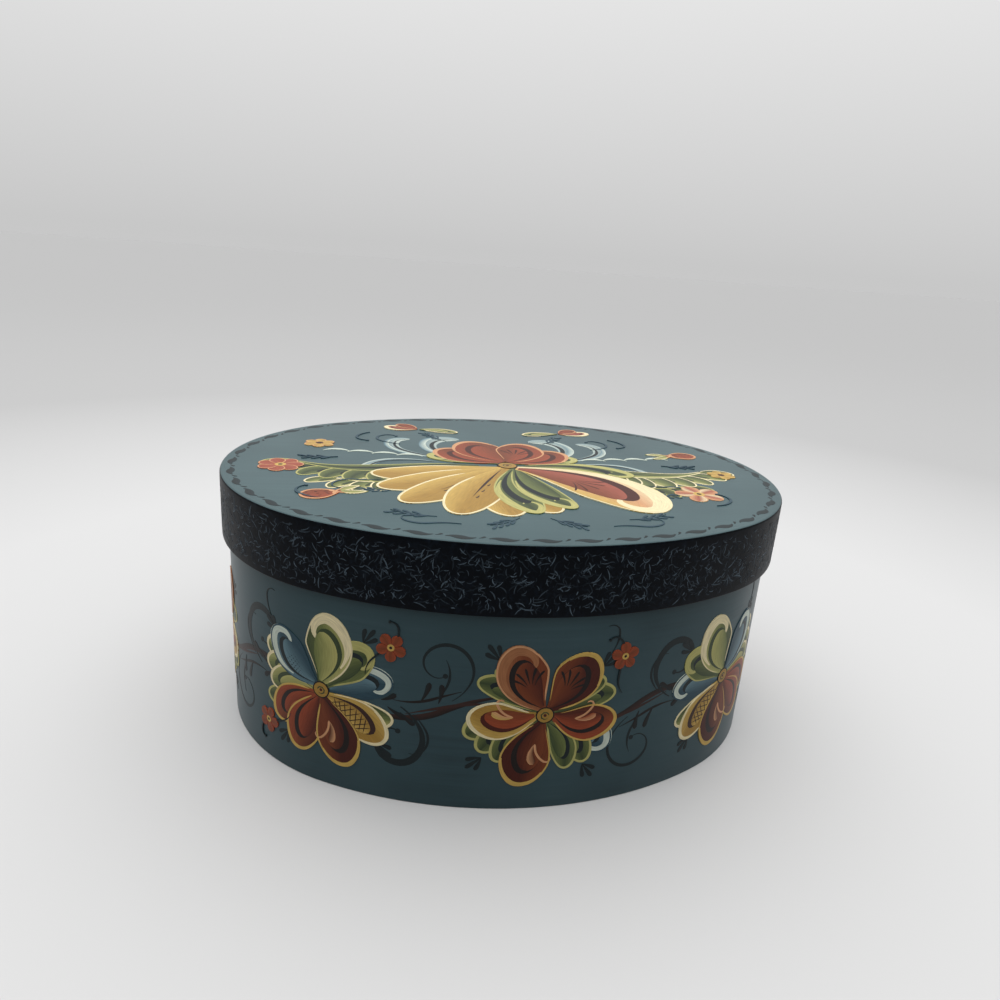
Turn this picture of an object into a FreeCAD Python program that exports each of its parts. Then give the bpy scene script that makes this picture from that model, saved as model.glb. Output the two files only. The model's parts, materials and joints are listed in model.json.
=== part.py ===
"""Oval bentwood box with a lift-off lid, in millimetres, one STEP file for each piece.

The side band and the lid band are thin strips of wood, bent round an oval form and lapped at the back.
The lap is scarfed, glued and tacked. Each band is pegged to a board that it is bent round.
The lid band slides down over the side band until the lid board sits on the rim.
+X runs along the oval, +Z is up, and the origin is the centre of the underside. The lap faces +Y.
"""

import FreeCAD
import Part

import math
import os

Vector = FreeCAD.Vector

# Plan of the box, measured over the outside of the side band
BODY_LENGTH = 293.2
BODY_WIDTH = 226.4
BODY_END_TIGHTENING = 11.8  # how much less than half the width the radius of the end arcs is

# Side band and its board
SIDE_BAND_HEIGHT = 127.9
SIDE_BAND_THICKNESS = 2.6
RIM_EDGE_BEVEL = 0.6
FOOT_EDGE_BEVEL = 0.5
BOTTOM_BOARD_THICKNESS = 8.0

# Lid: its band slides over the side band with this gap all round
LID_CLEARANCE = 0.9
LID_BAND_HEIGHT = 33.0
LID_BAND_THICKNESS = 2.5
LID_BOARD_THICKNESS = 6.0
LID_TOP_EDGE_BEVEL = 1.0
LID_HEM_EDGE_BEVEL = 0.6

# Lap of each band: the outer end is feathered over the inner one and ends in a low step
SIDE_LAP_LENGTH = 52.0
LID_LAP_LENGTH = 44.0
LAP_STEP = 0.4
LAP_FEATHER_DEPTH = 0.1
LAP_ROOT_DEPTH = 0.6

# Tacks through the lap, pressed in from outside and clinched inside
SIDE_TACK_COUNT = 5
SIDE_TACK_MARGIN = 16.0
LID_TACK_COUNT = 2
LID_TACK_MARGIN = 7.0
TACK_END_DISTANCE = 9.0
TACK_HEAD_SIDES = 12
TACK_HEAD_RADIUS = 1.9
TACK_CROWN_RADIUS = 1.3
TACK_HEAD_DEPTH = 0.3
TACK_HEAD_PROUD = 0.2
TACK_SHANK_WIDTH = 0.9
CLINCH_LENGTH = 3.2
CLINCH_WIDTH = 1.2
CLINCH_DEPTH = 0.5
CLINCH_PROUD = 0.15

# Wooden pegs, driven through each band into the edge of its board
BOTTOM_PEG_COUNT = 12
LID_PEG_COUNT = 12
PEG_SIDES = 6
PEG_HEAD_RADIUS = 1.3
PEG_TIP_RADIUS = 1.0
PEG_DEPTH = 11.0
PEG_TRIM = 1.5

BACK_ANGLE = math.pi / 2


class Oval:
    """A four-arc oval: two end arcs and two longer side arcs that meet on a tangent."""

    def __init__(self, half_length, half_width, end_radius):
        self.half_length = half_length
        self.half_width = half_width
        self.end_radius = end_radius
        self.end_centre = half_length - end_radius
        self.side_radius = (half_width + end_radius + self.end_centre**2 / (half_width - end_radius)) / 2
        self.side_centre = self.side_radius - half_width
        self.join_angle = math.atan2(self.side_centre, self.end_centre)

    def grown(self, distance):
        """The parallel oval that lies this far outside, on the same four centres."""
        return Oval(self.half_length + distance, self.half_width + distance, self.end_radius + distance)

    def arcs(self):
        """Centre, radius, start angle and sweep of each arc, anticlockwise from the +X end's lower join."""
        end_sweep = 2 * self.join_angle
        side_sweep = math.pi - end_sweep
        return [
            (Vector(self.end_centre, 0, 0), self.end_radius, -self.join_angle, end_sweep),
            (Vector(0, -self.side_centre, 0), self.side_radius, self.join_angle, side_sweep),
            (Vector(-self.end_centre, 0, 0), self.end_radius, math.pi - self.join_angle, end_sweep),
            (Vector(0, self.side_centre, 0), self.side_radius, math.pi + self.join_angle, side_sweep),
        ]

    def face(self):
        """The filled oval in the plane of the underside."""
        edges = [arc_edge(*arc) for arc in self.arcs()]
        return Part.Face(Part.Wire(edges))

    def prism(self, low, high):
        """The oval extruded between two heights."""
        face = self.face()
        face.translate(Vector(0, 0, low))
        return face.extrude(Vector(0, 0, high - low))

    def perimeter(self):
        """The length once round."""
        return sum(radius * sweep for _, radius, _, sweep in self.arcs())

    def station(self, share):
        """Point and outward direction at a share of the perimeter, anticlockwise from the +X end."""
        walk = share * self.perimeter() + self.end_radius * self.join_angle
        walk %= self.perimeter()
        for centre, radius, start, sweep in self.arcs():
            if walk <= radius * sweep:
                break
            walk -= radius * sweep
        angle = start + walk / radius
        outward = Vector(math.cos(angle), math.sin(angle), 0)
        return centre + outward * radius, outward

    def back_point(self, along, raised):
        """A point on the back arc, this far along it towards -X and raised off it."""
        angle = BACK_ANGLE + along / self.side_radius
        outward = Vector(math.cos(angle), math.sin(angle), 0)
        return Vector(0, -self.side_centre, 0) + outward * (self.side_radius + raised), outward


def arc_edge(centre, radius, start, sweep):
    """An arc through its start, middle and end."""
    ends = [start, start + sweep / 2, start + sweep]
    points = [centre + Vector(math.cos(angle), math.sin(angle), 0) * radius for angle in ends]
    return Part.Arc(*points).toShape()


def edges_at(shape, height, oval):
    """The edges of a straight-walled shape that lie at one height, on one oval."""
    found = []
    for edge in shape.Edges:
        box = edge.BoundBox
        if abs(box.ZMin - height) > 1e-6 or abs(box.ZMax - height) > 1e-6:
            continue
        middle = edge.valueAt((edge.FirstParameter + edge.LastParameter) / 2)
        rise = distance_outside(oval, middle)
        if abs(rise) < 1e-4:
            found.append(edge)
    return found


def distance_outside(oval, point):
    """How far a point in plan lies outside an oval."""
    flat = Vector(abs(point.x), abs(point.y), 0)
    from_side = flat - Vector(0, -oval.side_centre, 0)
    if math.atan2(from_side.y, from_side.x) > oval.join_angle:
        return from_side.Length - oval.side_radius
    return (flat - Vector(oval.end_centre, 0, 0)).Length - oval.end_radius


def bent_ring(inner, outer, low, high, eased):
    """A closed band between two ovals, with (height, oval, bevel) giving each edge that is eased."""
    ring = outer.prism(low, high).cut(inner.prism(low, high))
    for height, oval, bevel in eased:
        ring = ring.makeChamfer(bevel, edges_at(ring, height, oval))
    return ring


def whittled(sides, start_radius, end_radius, length):
    """A tapered stick of this many flat sides, from its start at the origin up along Z."""
    rings = []
    for radius, height in ((start_radius, 0), (end_radius, length)):
        turns = [2 * math.pi * index / sides for index in range(sides + 1)]
        points = [Vector(radius * math.cos(turn), radius * math.sin(turn), height) for turn in turns]
        rings.append(Part.makePolygon(points))
    return Part.makeLoft(rings, True, True)


def lap_rise(length, along):
    """How far the lap's outer end stands off the band. Its step is at -length / 2."""
    share = 0.5 - along / length
    return share * (LAP_STEP + LAP_FEATHER_DEPTH) - LAP_FEATHER_DEPTH


def lap_wedge(outer, length, low, high):
    """The feathered outer end of a band, which thickens to a low step."""
    stops = [length / 2, 0, -length / 2]
    skin = [outer.back_point(along, lap_rise(length, along))[0] for along in stops]
    root = [outer.back_point(along, -LAP_ROOT_DEPTH)[0] for along in stops]
    edges = [
        Part.Arc(*skin).toShape(),
        Part.makeLine(skin[-1], root[-1]),
        Part.Arc(*reversed(root)).toShape(),
        Part.makeLine(root[0], skin[0]),
    ]
    face = Part.Face(Part.Wire(edges))
    face.translate(Vector(0, 0, low))
    return face.extrude(Vector(0, 0, high - low))


def tack(wall):
    """A tack through a wall of this thickness, its head let into z = 0 and its point turned along X."""
    shank_end = CLINCH_DEPTH / 2 - wall
    head = whittled(TACK_HEAD_SIDES, TACK_HEAD_RADIUS, TACK_CROWN_RADIUS, TACK_HEAD_PROUD + TACK_HEAD_DEPTH)
    head.translate(Vector(0, 0, -TACK_HEAD_DEPTH))
    corner = Vector(-TACK_SHANK_WIDTH / 2, -TACK_SHANK_WIDTH / 2, shank_end)
    shank = Part.makeBox(TACK_SHANK_WIDTH, TACK_SHANK_WIDTH, -shank_end, corner)
    heel = Vector(-CLINCH_WIDTH / 2, -CLINCH_WIDTH / 2, -wall - CLINCH_PROUD)
    clinch = Part.makeBox(CLINCH_LENGTH, CLINCH_WIDTH, CLINCH_DEPTH + CLINCH_PROUD, heel)
    return head.fuse([shank, clinch])


def lap_tacks(outer, thickness, length, heights):
    """A line of tacks up the lap, beside the step."""
    along = TACK_END_DISTANCE - length / 2
    rise = lap_rise(length, along)
    place, outward = outer.back_point(along, rise)
    tangent = Vector(-outward.y, outward.x, 0)
    upright = Vector(0, 0, 1)
    turn = FreeCAD.Rotation(tangent, outward.cross(tangent), outward, "ZXY")
    tacks = []
    for height in heights:
        one = tack(thickness + rise)
        one.Placement = FreeCAD.Placement(place + upright * height, turn)
        tacks.append(one)
    return tacks


def spread(low, high, count):
    """Evenly spaced heights from low to high."""
    if count == 1:
        return [(low + high) / 2]
    return [low + (high - low) * index / (count - 1) for index in range(count)]


def pegs(outer, thickness, height, count):
    """Whittled pegs round a band, cut flush with its outside, spaced to miss the lap's centre."""
    skin = outer.prism(height - PEG_HEAD_RADIUS * 2, height + PEG_HEAD_RADIUS * 2)
    reach = thickness + PEG_DEPTH + PEG_TRIM
    found = []
    for index in range(count):
        place, outward = outer.station((index + 0.5) / count)
        start = place + outward * PEG_TRIM + Vector(0, 0, height)
        peg = whittled(PEG_SIDES, PEG_HEAD_RADIUS, PEG_TIP_RADIUS, reach)
        peg.Placement = FreeCAD.Placement(start, FreeCAD.Rotation(Vector(0, 0, 1), outward * -1))
        found.append(peg.common(skin))
    return found


def write(name, shapes):
    """Writes one node, as a group when it has several solids."""
    solids = [solid for shape in shapes for solid in shape.Solids]
    node = solids[0] if len(solids) == 1 else Part.makeCompound(solids)
    node.exportStep(f"parts/{name}.step")


def build():
    """Makes every piece at its place and returns them by name."""
    body_outer = Oval(BODY_LENGTH / 2, BODY_WIDTH / 2, BODY_WIDTH / 2 - BODY_END_TIGHTENING)
    body_inner = body_outer.grown(-SIDE_BAND_THICKNESS)
    lid_inner = body_outer.grown(LID_CLEARANCE)
    lid_outer = lid_inner.grown(LID_BAND_THICKNESS)
    lid_top = SIDE_BAND_HEIGHT + LID_BOARD_THICKNESS
    lid_hem = lid_top - LID_BAND_HEIGHT

    # Side band, its board, pegs and tacks
    side_band = bent_ring(
        body_inner,
        body_outer,
        0,
        SIDE_BAND_HEIGHT,
        [
            (SIDE_BAND_HEIGHT, body_outer, RIM_EDGE_BEVEL),
            (SIDE_BAND_HEIGHT, body_inner, RIM_EDGE_BEVEL),
            (0, body_outer, FOOT_EDGE_BEVEL),
        ],
    )
    side_lap_top = SIDE_BAND_HEIGHT - RIM_EDGE_BEVEL
    side_wedge = lap_wedge(body_outer, SIDE_LAP_LENGTH, FOOT_EDGE_BEVEL, side_lap_top)
    side_heights = spread(SIDE_TACK_MARGIN, SIDE_BAND_HEIGHT - SIDE_TACK_MARGIN, SIDE_TACK_COUNT)
    side_tacks = lap_tacks(body_outer, SIDE_BAND_THICKNESS, SIDE_LAP_LENGTH, side_heights)
    bottom_board = body_inner.prism(0, BOTTOM_BOARD_THICKNESS)
    bottom_pegs = pegs(body_outer, SIDE_BAND_THICKNESS, BOTTOM_BOARD_THICKNESS / 2, BOTTOM_PEG_COUNT)

    # Lid band, its board, pegs and tacks
    lid_band = bent_ring(
        lid_inner,
        lid_outer,
        lid_hem,
        lid_top,
        [
            (lid_top, lid_outer, LID_TOP_EDGE_BEVEL),
            (lid_hem, lid_outer, LID_HEM_EDGE_BEVEL),
            (lid_hem, lid_inner, LID_HEM_EDGE_BEVEL),
        ],
    )
    lid_lap_base = lid_hem + LID_HEM_EDGE_BEVEL
    lid_wedge = lap_wedge(lid_outer, LID_LAP_LENGTH, lid_lap_base, lid_top - LID_TOP_EDGE_BEVEL)
    lid_heights = spread(lid_hem + LID_TACK_MARGIN, SIDE_BAND_HEIGHT - LID_TACK_MARGIN, LID_TACK_COUNT)
    lid_tacks = lap_tacks(lid_outer, LID_BAND_THICKNESS, LID_LAP_LENGTH, lid_heights)
    lid_board = lid_inner.prism(SIDE_BAND_HEIGHT, lid_top)
    lid_pegs = pegs(lid_outer, LID_BAND_THICKNESS, lid_top - LID_BOARD_THICKNESS / 2, LID_PEG_COUNT)

    return {
        "side_band": [side_band.fuse(side_wedge).cut(side_tacks + bottom_pegs)],
        "bottom_board": [bottom_board.cut(bottom_pegs)],
        "bottom_pegs": bottom_pegs,
        "side_lap_tacks": side_tacks,
        "lid_band": [lid_band.fuse(lid_wedge).cut(lid_tacks + lid_pegs)],
        "lid_board": [lid_board.cut(lid_pegs)],
        "lid_pegs": lid_pegs,
        "lid_lap_tacks": lid_tacks,
    }


os.makedirs("parts", exist_ok=True)
pieces = build()
for piece_name, piece_solids in pieces.items():
    write(piece_name, piece_solids)
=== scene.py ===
"""Dresses the oval bentwood box: bent bands, painted ground, dark flecked lid band and rosemaled ornament.

Lengths in the classes are millimetres in the box's own frame, and meshes are written in metres.
The wall is unrolled as (along, up): along runs anticlockwise from the middle of the front.
"""

from __future__ import annotations

import json
import logging
import math
from dataclasses import dataclass, field, replace
from enum import Enum
from typing import Any, Callable, Iterable, Sequence

import bpy
import numpy as np
from mathutils import Matrix, Vector

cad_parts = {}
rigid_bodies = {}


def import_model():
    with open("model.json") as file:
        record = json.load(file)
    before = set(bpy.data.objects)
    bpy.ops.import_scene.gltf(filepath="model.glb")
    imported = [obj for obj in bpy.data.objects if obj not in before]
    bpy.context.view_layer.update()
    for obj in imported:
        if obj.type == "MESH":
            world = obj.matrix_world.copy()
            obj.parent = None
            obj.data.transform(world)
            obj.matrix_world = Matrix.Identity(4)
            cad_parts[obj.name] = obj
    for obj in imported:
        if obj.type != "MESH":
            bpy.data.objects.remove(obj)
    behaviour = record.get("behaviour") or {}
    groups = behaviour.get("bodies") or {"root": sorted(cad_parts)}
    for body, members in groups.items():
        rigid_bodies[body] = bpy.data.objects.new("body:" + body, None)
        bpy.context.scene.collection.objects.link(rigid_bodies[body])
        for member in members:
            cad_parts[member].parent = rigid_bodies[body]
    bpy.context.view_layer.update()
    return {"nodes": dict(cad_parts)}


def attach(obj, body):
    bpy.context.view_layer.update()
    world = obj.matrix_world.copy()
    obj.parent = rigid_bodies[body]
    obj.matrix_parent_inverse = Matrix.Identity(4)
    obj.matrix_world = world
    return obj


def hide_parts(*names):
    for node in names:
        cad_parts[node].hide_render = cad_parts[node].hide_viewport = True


LOG = logging.getLogger("oval_box")
MM = 0.001

Point = tuple[float, float]
Point3 = tuple[float, float, float]
Stops = tuple[str, ...]


def linear(hex_colour: str) -> tuple[float, float, float]:
    """Turns an sRGB hex colour into linear red, green and blue.

    Args:
        hex_colour: six hex digits after a hash.

    Returns:
        The three linear values.
    """
    parts = [int(hex_colour[i : i + 2], 16) / 255 for i in (1, 3, 5)]
    red, green, blue = [p / 12.92 if p <= 0.04045 else ((p + 0.055) / 1.055) ** 2.4 for p in parts]
    return red, green, blue


class Tint(str, Enum):
    """The painter's colours, as they look in plain light."""

    # GROUND is the wall's paint. It is set a little darker than the lid's copy of the same paint, as
    # painted shade on the shaded sides.
    GROUND = "#344A50"
    NIGHT = "#03060C"
    SMEAR = "#0D141D"
    FLECK = "#55636E"
    FAINT_FLECK = "#0B1118"
    RUST = "#763C22"
    BRICK = "#45190F"
    EMBER = "#95452A"
    TAN = "#9F6A47"
    PEACH = "#CF9A70"
    ROSE = "#9F5544"
    OCHRE = "#A4803C"
    GOLD = "#C9A75A"
    CREAM = "#EBDDB2"
    MOSS = "#37432A"
    FERN = "#6B7443"
    LIME = "#B5B06E"
    SLATE = "#2C4652"
    STEEL = "#65828C"
    FROST = "#C9D3C6"
    PINE = "#141E20"
    SHADE = "#1E2C30"
    INK = "#160E0C"
    BARK = "#35201B"


@dataclass(frozen=True)
class Oval:
    """Four-arc oval with tangent joins, as the bands are bent round it.

    Attributes:
        half_length: half of the length along X.
        half_width: half of the width along Y.
        end_radius: radius of the two end arcs.
    """

    half_length: float = 146.6
    half_width: float = 113.2
    end_radius: float = 101.4

    def grown(self, distance: float) -> Oval:
        """Returns the parallel oval this far outside."""
        return Oval(self.half_length + distance, self.half_width + distance, self.end_radius + distance)

    @property
    def end_centre(self) -> float:
        """Distance of the end arcs' centres from the middle."""
        return self.half_length - self.end_radius

    @property
    def side_radius(self) -> float:
        """Radius of the two long arcs."""
        spare = self.half_width - self.end_radius
        return (self.half_width + self.end_radius + self.end_centre**2 / spare) / 2

    @property
    def join(self) -> float:
        """Angle at which an end arc meets a side arc."""
        return math.atan2(self.side_radius - self.half_width, self.end_centre)

    def arcs(self) -> list[tuple[Point, float, float, float]]:
        """Lists the arcs, anticlockwise from the middle of the front.

        Returns:
            Each arc's centre, radius, start angle and sweep.
        """
        reach = self.side_radius - self.half_width
        side_half = math.pi / 2 - self.join
        return [
            ((0.0, reach), self.side_radius, -math.pi / 2, side_half),
            ((self.end_centre, 0.0), self.end_radius, -self.join, 2 * self.join),
            ((0.0, -reach), self.side_radius, self.join, 2 * side_half),
            ((-self.end_centre, 0.0), self.end_radius, math.pi - self.join, 2 * self.join),
            ((0.0, reach), self.side_radius, math.pi + self.join, side_half),
        ]

    @property
    def perimeter(self) -> float:
        """Length once round."""
        return sum(radius * sweep for _, radius, _, sweep in self.arcs())

    def at(self, along: float) -> tuple[Point, Point]:
        """Finds a place on the oval.

        Args:
            along: distance anticlockwise from the middle of the front.

        Returns:
            The point and the outward direction there.
        """
        walk = along % self.perimeter
        for centre, radius, start, sweep in self.arcs():
            if walk <= radius * sweep + 1e-9:
                break
            walk -= radius * sweep
        turn = start + walk / radius
        out = (math.cos(turn), math.sin(turn))
        return (centre[0] + radius * out[0], centre[1] + radius * out[1]), out


@dataclass(frozen=True)
class Lap:
    """Where a bent band's outer end lies over its inner end, in the middle of the back.

    Attributes:
        oval: the outside of the band.
        length: length of the lap.
        step: how far the outer end stands off.
        feather: how far the other end is drawn down.
        ramp: how far in front of the step the ornament starts to rise.
        clear: how near the step the other places come.
        lead: how far in front of the step the last place before it is.
        sharp: half of the distance between the close pair of places at the step.
    """

    oval: Oval
    length: float
    step: float = 0.4
    feather: float = 0.1
    ramp: float = 10.0
    clear: float = 1.2
    lead: float = 0.9
    sharp: float = 0.05

    @property
    def start(self) -> float:
        """Place of the step along the band."""
        return (self.oval.perimeter - self.length) / 2

    def rise(self, along: float) -> float:
        """Finds how far the outside stands off.

        Args:
            along: place along the band.

        Returns:
            The rise, which is 0 outside the lap.
        """
        past = along - self.start
        if past < 0 or past > self.length:
            return 0.0
        return max(0.0, self.step - (self.step + self.feather) * past / self.length)

    def eased_rise(self, along: float) -> float:
        """Finds the rise of thick ornament, which is led over the step in a long S.

        Args:
            along: place along the band.

        Returns:
            The rise.
        """
        share = (along - self.start) / self.ramp + 1
        if not 0 < share < 1:
            return self.rise(along)
        return self.step * (2 * share**2 if share < 0.5 else 1 - 2 * (1 - share) ** 2)

    def stations(self, count: int) -> list[float]:
        """Spreads places round the band, with a close pair at the step.

        Args:
            count: how many would go round evenly.

        Returns:
            The places in order.
        """
        evenly = [self.oval.perimeter * i / count for i in range(count)]
        kept = [a for a in evenly if abs(a - self.start) > self.clear]
        return sorted(kept + [self.start - self.lead, self.start - self.sharp, self.start + self.sharp])


@dataclass(frozen=True)
class BoxSizes:
    """Heights and thicknesses that the dressing shares with the construction.

    Attributes:
        body: the outside of the side band.
        side_thickness: thickness of the side band.
        rim: height of the side band's upper edge.
        lid_gap: clearance between the two bands.
        lid_thickness: thickness of the lid band.
        lid_top: height of the lid's upper face.
        lid_hem: height of the lid band's lower edge.
        coat: how far the paint stands over the wood.
        side_lap_length: length of the side band's lap.
        lid_lap_length: length of the lid band's lap.
    """

    body: Oval = Oval()
    side_thickness: float = 2.6
    rim: float = 127.9
    lid_gap: float = 0.9
    lid_thickness: float = 2.5
    lid_top: float = 133.9
    lid_hem: float = 100.9
    coat: float = 0.03
    side_lap_length: float = 52.0
    lid_lap_length: float = 44.0

    @property
    def lid(self) -> Oval:
        """The outside of the lid band."""
        return self.body.grown(self.lid_gap + self.lid_thickness)

    @property
    def side_lap(self) -> Lap:
        """The side band's lap."""
        return Lap(self.body, self.side_lap_length)

    @property
    def lid_lap(self) -> Lap:
        """The lid band's lap."""
        return Lap(self.lid, self.lid_lap_length)


def add_node(
    tree: bpy.types.NodeTree, kind: str, inputs: dict[Any, Any] | None = None, **settings: Any
) -> Any:
    """Adds a node with its settings and links.

    Args:
        tree: the tree that takes the node.
        kind: the node's type name.
        inputs: values or output sockets for its inputs, by name or number.
        settings: properties of the node.

    Returns:
        The new node.
    """
    node = tree.nodes.new(kind)
    for name, value in settings.items():
        setattr(node, name, value)
    for key, value in (inputs or {}).items():
        if isinstance(value, bpy.types.NodeSocket):
            tree.links.new(value, node.inputs[key])
        else:
            node.inputs[key].default_value = value
    return node


def rgba(tint: str) -> tuple[float, float, float, float]:
    """Returns a tint as linear red, green, blue and alpha."""
    return (*linear(tint), 1.0)


@dataclass(frozen=True)
class Finish:
    """What every finish shares: a name, a surface shader and its plain values.

    Attributes:
        name: the material's name.
        roughness: roughness of the surface.
        gloss: specular level; oil paint and wood both keep the usual IOR under it.
        relief: share of the relief that shows.
        relief_mm: depth of the relief.
    """

    name: str
    roughness: float = 0.42
    gloss: float = 0.16
    relief: float = 0.0
    relief_mm: float = 0.2

    def material(self) -> bpy.types.Material:
        """Makes the finish once, and finds it again when asked.

        Returns:
            The material.
        """
        found = bpy.data.materials.get(self.name)
        if found:
            return found
        made = bpy.data.materials.new(self.name)
        made.use_nodes = True
        tree = made.node_tree
        tree.nodes.clear()
        values = {"Roughness": self.roughness, "Specular IOR Level": self.gloss}
        surface = add_node(tree, "ShaderNodeBsdfPrincipled", values)
        self.dress(tree, surface)
        add_node(tree, "ShaderNodeOutputMaterial", {"Surface": surface.outputs["BSDF"]})
        return made

    def dress(self, tree: bpy.types.NodeTree, surface: Any) -> None:
        """Gives the shader its colour and relief; each finish has its own."""
        raise NotImplementedError

    def lay(self, tree: bpy.types.NodeTree, surface: Any, colour: Any, height: Any) -> None:
        """Links the finish's colour and its relief to the shader.

        Args:
            tree: the material's tree.
            surface: its surface shader.
            colour: the colour socket.
            height: the socket that gives the relief's height.
        """
        tree.links.new(colour, surface.inputs["Base Color"])
        depths = {"Height": height, "Strength": self.relief, "Distance": self.relief_mm * MM}
        bump = add_node(tree, "ShaderNodeBump", depths)
        tree.links.new(bump.outputs["Normal"], surface.inputs["Normal"])


def mottled(tree: bpy.types.NodeTree, low: Any, high: Any, noise: Any, spread: Point = (0.3, 0.7)) -> Any:
    """Blends two colours by a noise value.

    Args:
        tree: the material's tree.
        low: colour or socket where the noise is low.
        high: colour or socket where it is high.
        noise: the noise's value socket.
        spread: noise values at which the blend starts and ends.

    Returns:
        The blended colour socket.
    """
    limits = {"Value": noise, "From Min": spread[0], "From Max": spread[1]}
    share = add_node(tree, "ShaderNodeMapRange", limits).outputs["Result"]
    # The blend's two colours are its inputs 6 and 7, and its blended colour is its output 2.
    blend = add_node(tree, "ShaderNodeMix", {"Factor": share, 6: low, 7: high}, data_type="RGBA")
    return blend.outputs[2]


@dataclass(frozen=True)
class GroundPaint(Finish):
    """Satin oil paint laid on with a flat brush and varnished: blue-grey with faint level brush marks.

    Attributes:
        tint: its main colour.
        light: the paler colour of its blotches.
        dark: the darker colour of its blotches.
        streak_mm: width of a brush mark, coarser than a real bristle so that it shows.
        blotch_mm: width of a blotch.
        run: how fine the brush marks are along each axis, against across the brush.
    """

    name: str = "satin_oil_paint_blue_grey"
    roughness: float = 0.34
    relief: float = 0.06
    # The side band's tints are a little darker than the lid's copy of this paint, as painted shade on the
    # shaded sides.
    tint: str = Tint.GROUND.value
    light: str = "#3D545A"
    dark: str = "#2B3E44"
    streak_mm: float = 2.2
    blotch_mm: float = 60.0
    run: Point3 = (0.03, 0.03, 1.0)

    def dress(self, tree: bpy.types.NodeTree, surface: Any) -> None:
        """Draws brush marks that are thin across the run of the brush and long along it.

        Args:
            tree: the material's tree.
            surface: its surface shader.
        """
        place = add_node(tree, "ShaderNodeTexCoord").outputs["Object"]
        stretch = tuple(share / (self.streak_mm * MM) for share in self.run)
        drawn = add_node(tree, "ShaderNodeMapping", {"Vector": place, "Scale": stretch}).outputs["Vector"]
        streaks = add_node(tree, "ShaderNodeTexNoise", {"Vector": drawn, "Scale": 1.0, "Detail": 4.0})
        across = 1 / (self.blotch_mm * MM)
        blotches = add_node(tree, "ShaderNodeTexNoise", {"Vector": place, "Scale": across, "Detail": 3.0})
        body = mottled(tree, rgba(self.dark), rgba(self.light), blotches.outputs["Fac"], (0.25, 0.75))
        brushed = mottled(tree, body, rgba(self.tint), streaks.outputs["Fac"], (0.35, 0.7))
        self.lay(tree, surface, brushed, streaks.outputs["Fac"])


@dataclass(frozen=True)
class NightPaint(Finish):
    """Near-black blue oil paint, stippled with a rag while wet: soft paler smears under the flecks.

    Attributes:
        smear_mm: width of a smear.
        wander_mm: how far a smear curls off its line.
    """

    name: str = "stippled_oil_paint_night_blue"
    roughness: float = 0.4
    gloss: float = 0.06
    relief: float = 0.15
    relief_mm: float = 0.3
    smear_mm: float = 2.4
    wander_mm: float = 4.0

    def dress(self, tree: bpy.types.NodeTree, surface: Any) -> None:
        """Draws curled smears a few millimetres wide, only a little paler than the ground.

        Args:
            tree: the material's tree.
            surface: its surface shader.
        """
        place = add_node(tree, "ShaderNodeTexCoord").outputs["Object"]
        across = 1 / (self.smear_mm * MM)
        wander = add_node(tree, "ShaderNodeTexNoise", {"Vector": place, "Scale": across / 2})
        pair = {0: wander.outputs["Color"], 1: (self.wander_mm * MM,) * 3}
        bent = add_node(tree, "ShaderNodeVectorMath", pair, operation="MULTIPLY").outputs["Vector"]
        moved = add_node(tree, "ShaderNodeVectorMath", {0: place, 1: bent}, operation="ADD").outputs[0]
        smears = add_node(tree, "ShaderNodeTexNoise", {"Vector": moved, "Scale": across, "Detail": 2.0})
        colour = mottled(tree, rgba(Tint.NIGHT), rgba(Tint.SMEAR), smears.outputs["Fac"], (0.5, 0.74))
        self.lay(tree, surface, colour, smears.outputs["Fac"])


@dataclass(frozen=True)
class BrushPaint(Finish):
    """Thin oil paint from a loaded round brush: each stroke keeps its blended colours and bristle lines.

    Attributes:
        bristle_mm: width of a bristle line, coarser than a real hair so that it shows.
        length_share: how fine the lines are along the stroke, against across it.
    """

    name: str = "brushed_oil_paint_ornament"
    roughness: float = 0.38
    relief: float = 0.12
    bristle_mm: float = 0.45
    length_share: float = 0.06

    def dress(self, tree: bpy.types.NodeTree, surface: Any) -> None:
        """Takes the stroke's own colours and streaks them along its length by its own map.

        Args:
            tree: the material's tree.
            surface: its surface shader.
        """
        paint = add_node(tree, "ShaderNodeAttribute", attribute_name="paint")
        own_map = add_node(tree, "ShaderNodeUVMap", uv_map="stroke").outputs["UV"]
        across = 1 / (self.bristle_mm * MM)
        stretch = (across * self.length_share, across, 1.0)
        drawn = add_node(tree, "ShaderNodeMapping", {"Vector": own_map, "Scale": stretch}).outputs["Vector"]
        bristles = add_node(tree, "ShaderNodeTexNoise", {"Vector": drawn, "Scale": 1.0, "Detail": 3.0})
        limits = {"From Min": 0.3, "From Max": 0.7, "To Min": 0.8, "To Max": 1.16}
        shade = add_node(tree, "ShaderNodeMapRange", {"Value": bristles.outputs["Fac"], **limits})
        pair = {0: paint.outputs["Color"], 1: shade.outputs["Result"]}
        streaked = add_node(tree, "ShaderNodeVectorMath", pair, operation="MULTIPLY").outputs["Vector"]
        self.lay(tree, surface, streaked, bristles.outputs["Fac"])


@dataclass(frozen=True)
class FleckPaint(Finish):
    """Thin grey-white oil paint dragged over the dark band: each fleck is a little more or less opaque.

    Attributes:
        faintness: the higher it is, the fewer flecks are bright.
    """

    name: str = "dragged_oil_paint_flecks"
    gloss: float = 0.06
    faintness: float = 2.4

    def dress(self, tree: bpy.types.NodeTree, surface: Any) -> None:
        """Gives each fleck a tone of its own, from nearly the band's colour to pale grey.

        Args:
            tree: the material's tree.
            surface: its surface shader.
        """
        tone = add_node(tree, "ShaderNodeAttribute", attribute_name="tone").outputs["Fac"]
        share = add_node(tree, "ShaderNodeMath", {0: tone, 1: self.faintness}, operation="POWER").outputs[0]
        colour = mottled(tree, rgba(Tint.FAINT_FLECK), rgba(Tint.FLECK), share, (0.0, 1.0))
        tree.links.new(colour, surface.inputs["Base Color"])


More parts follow.
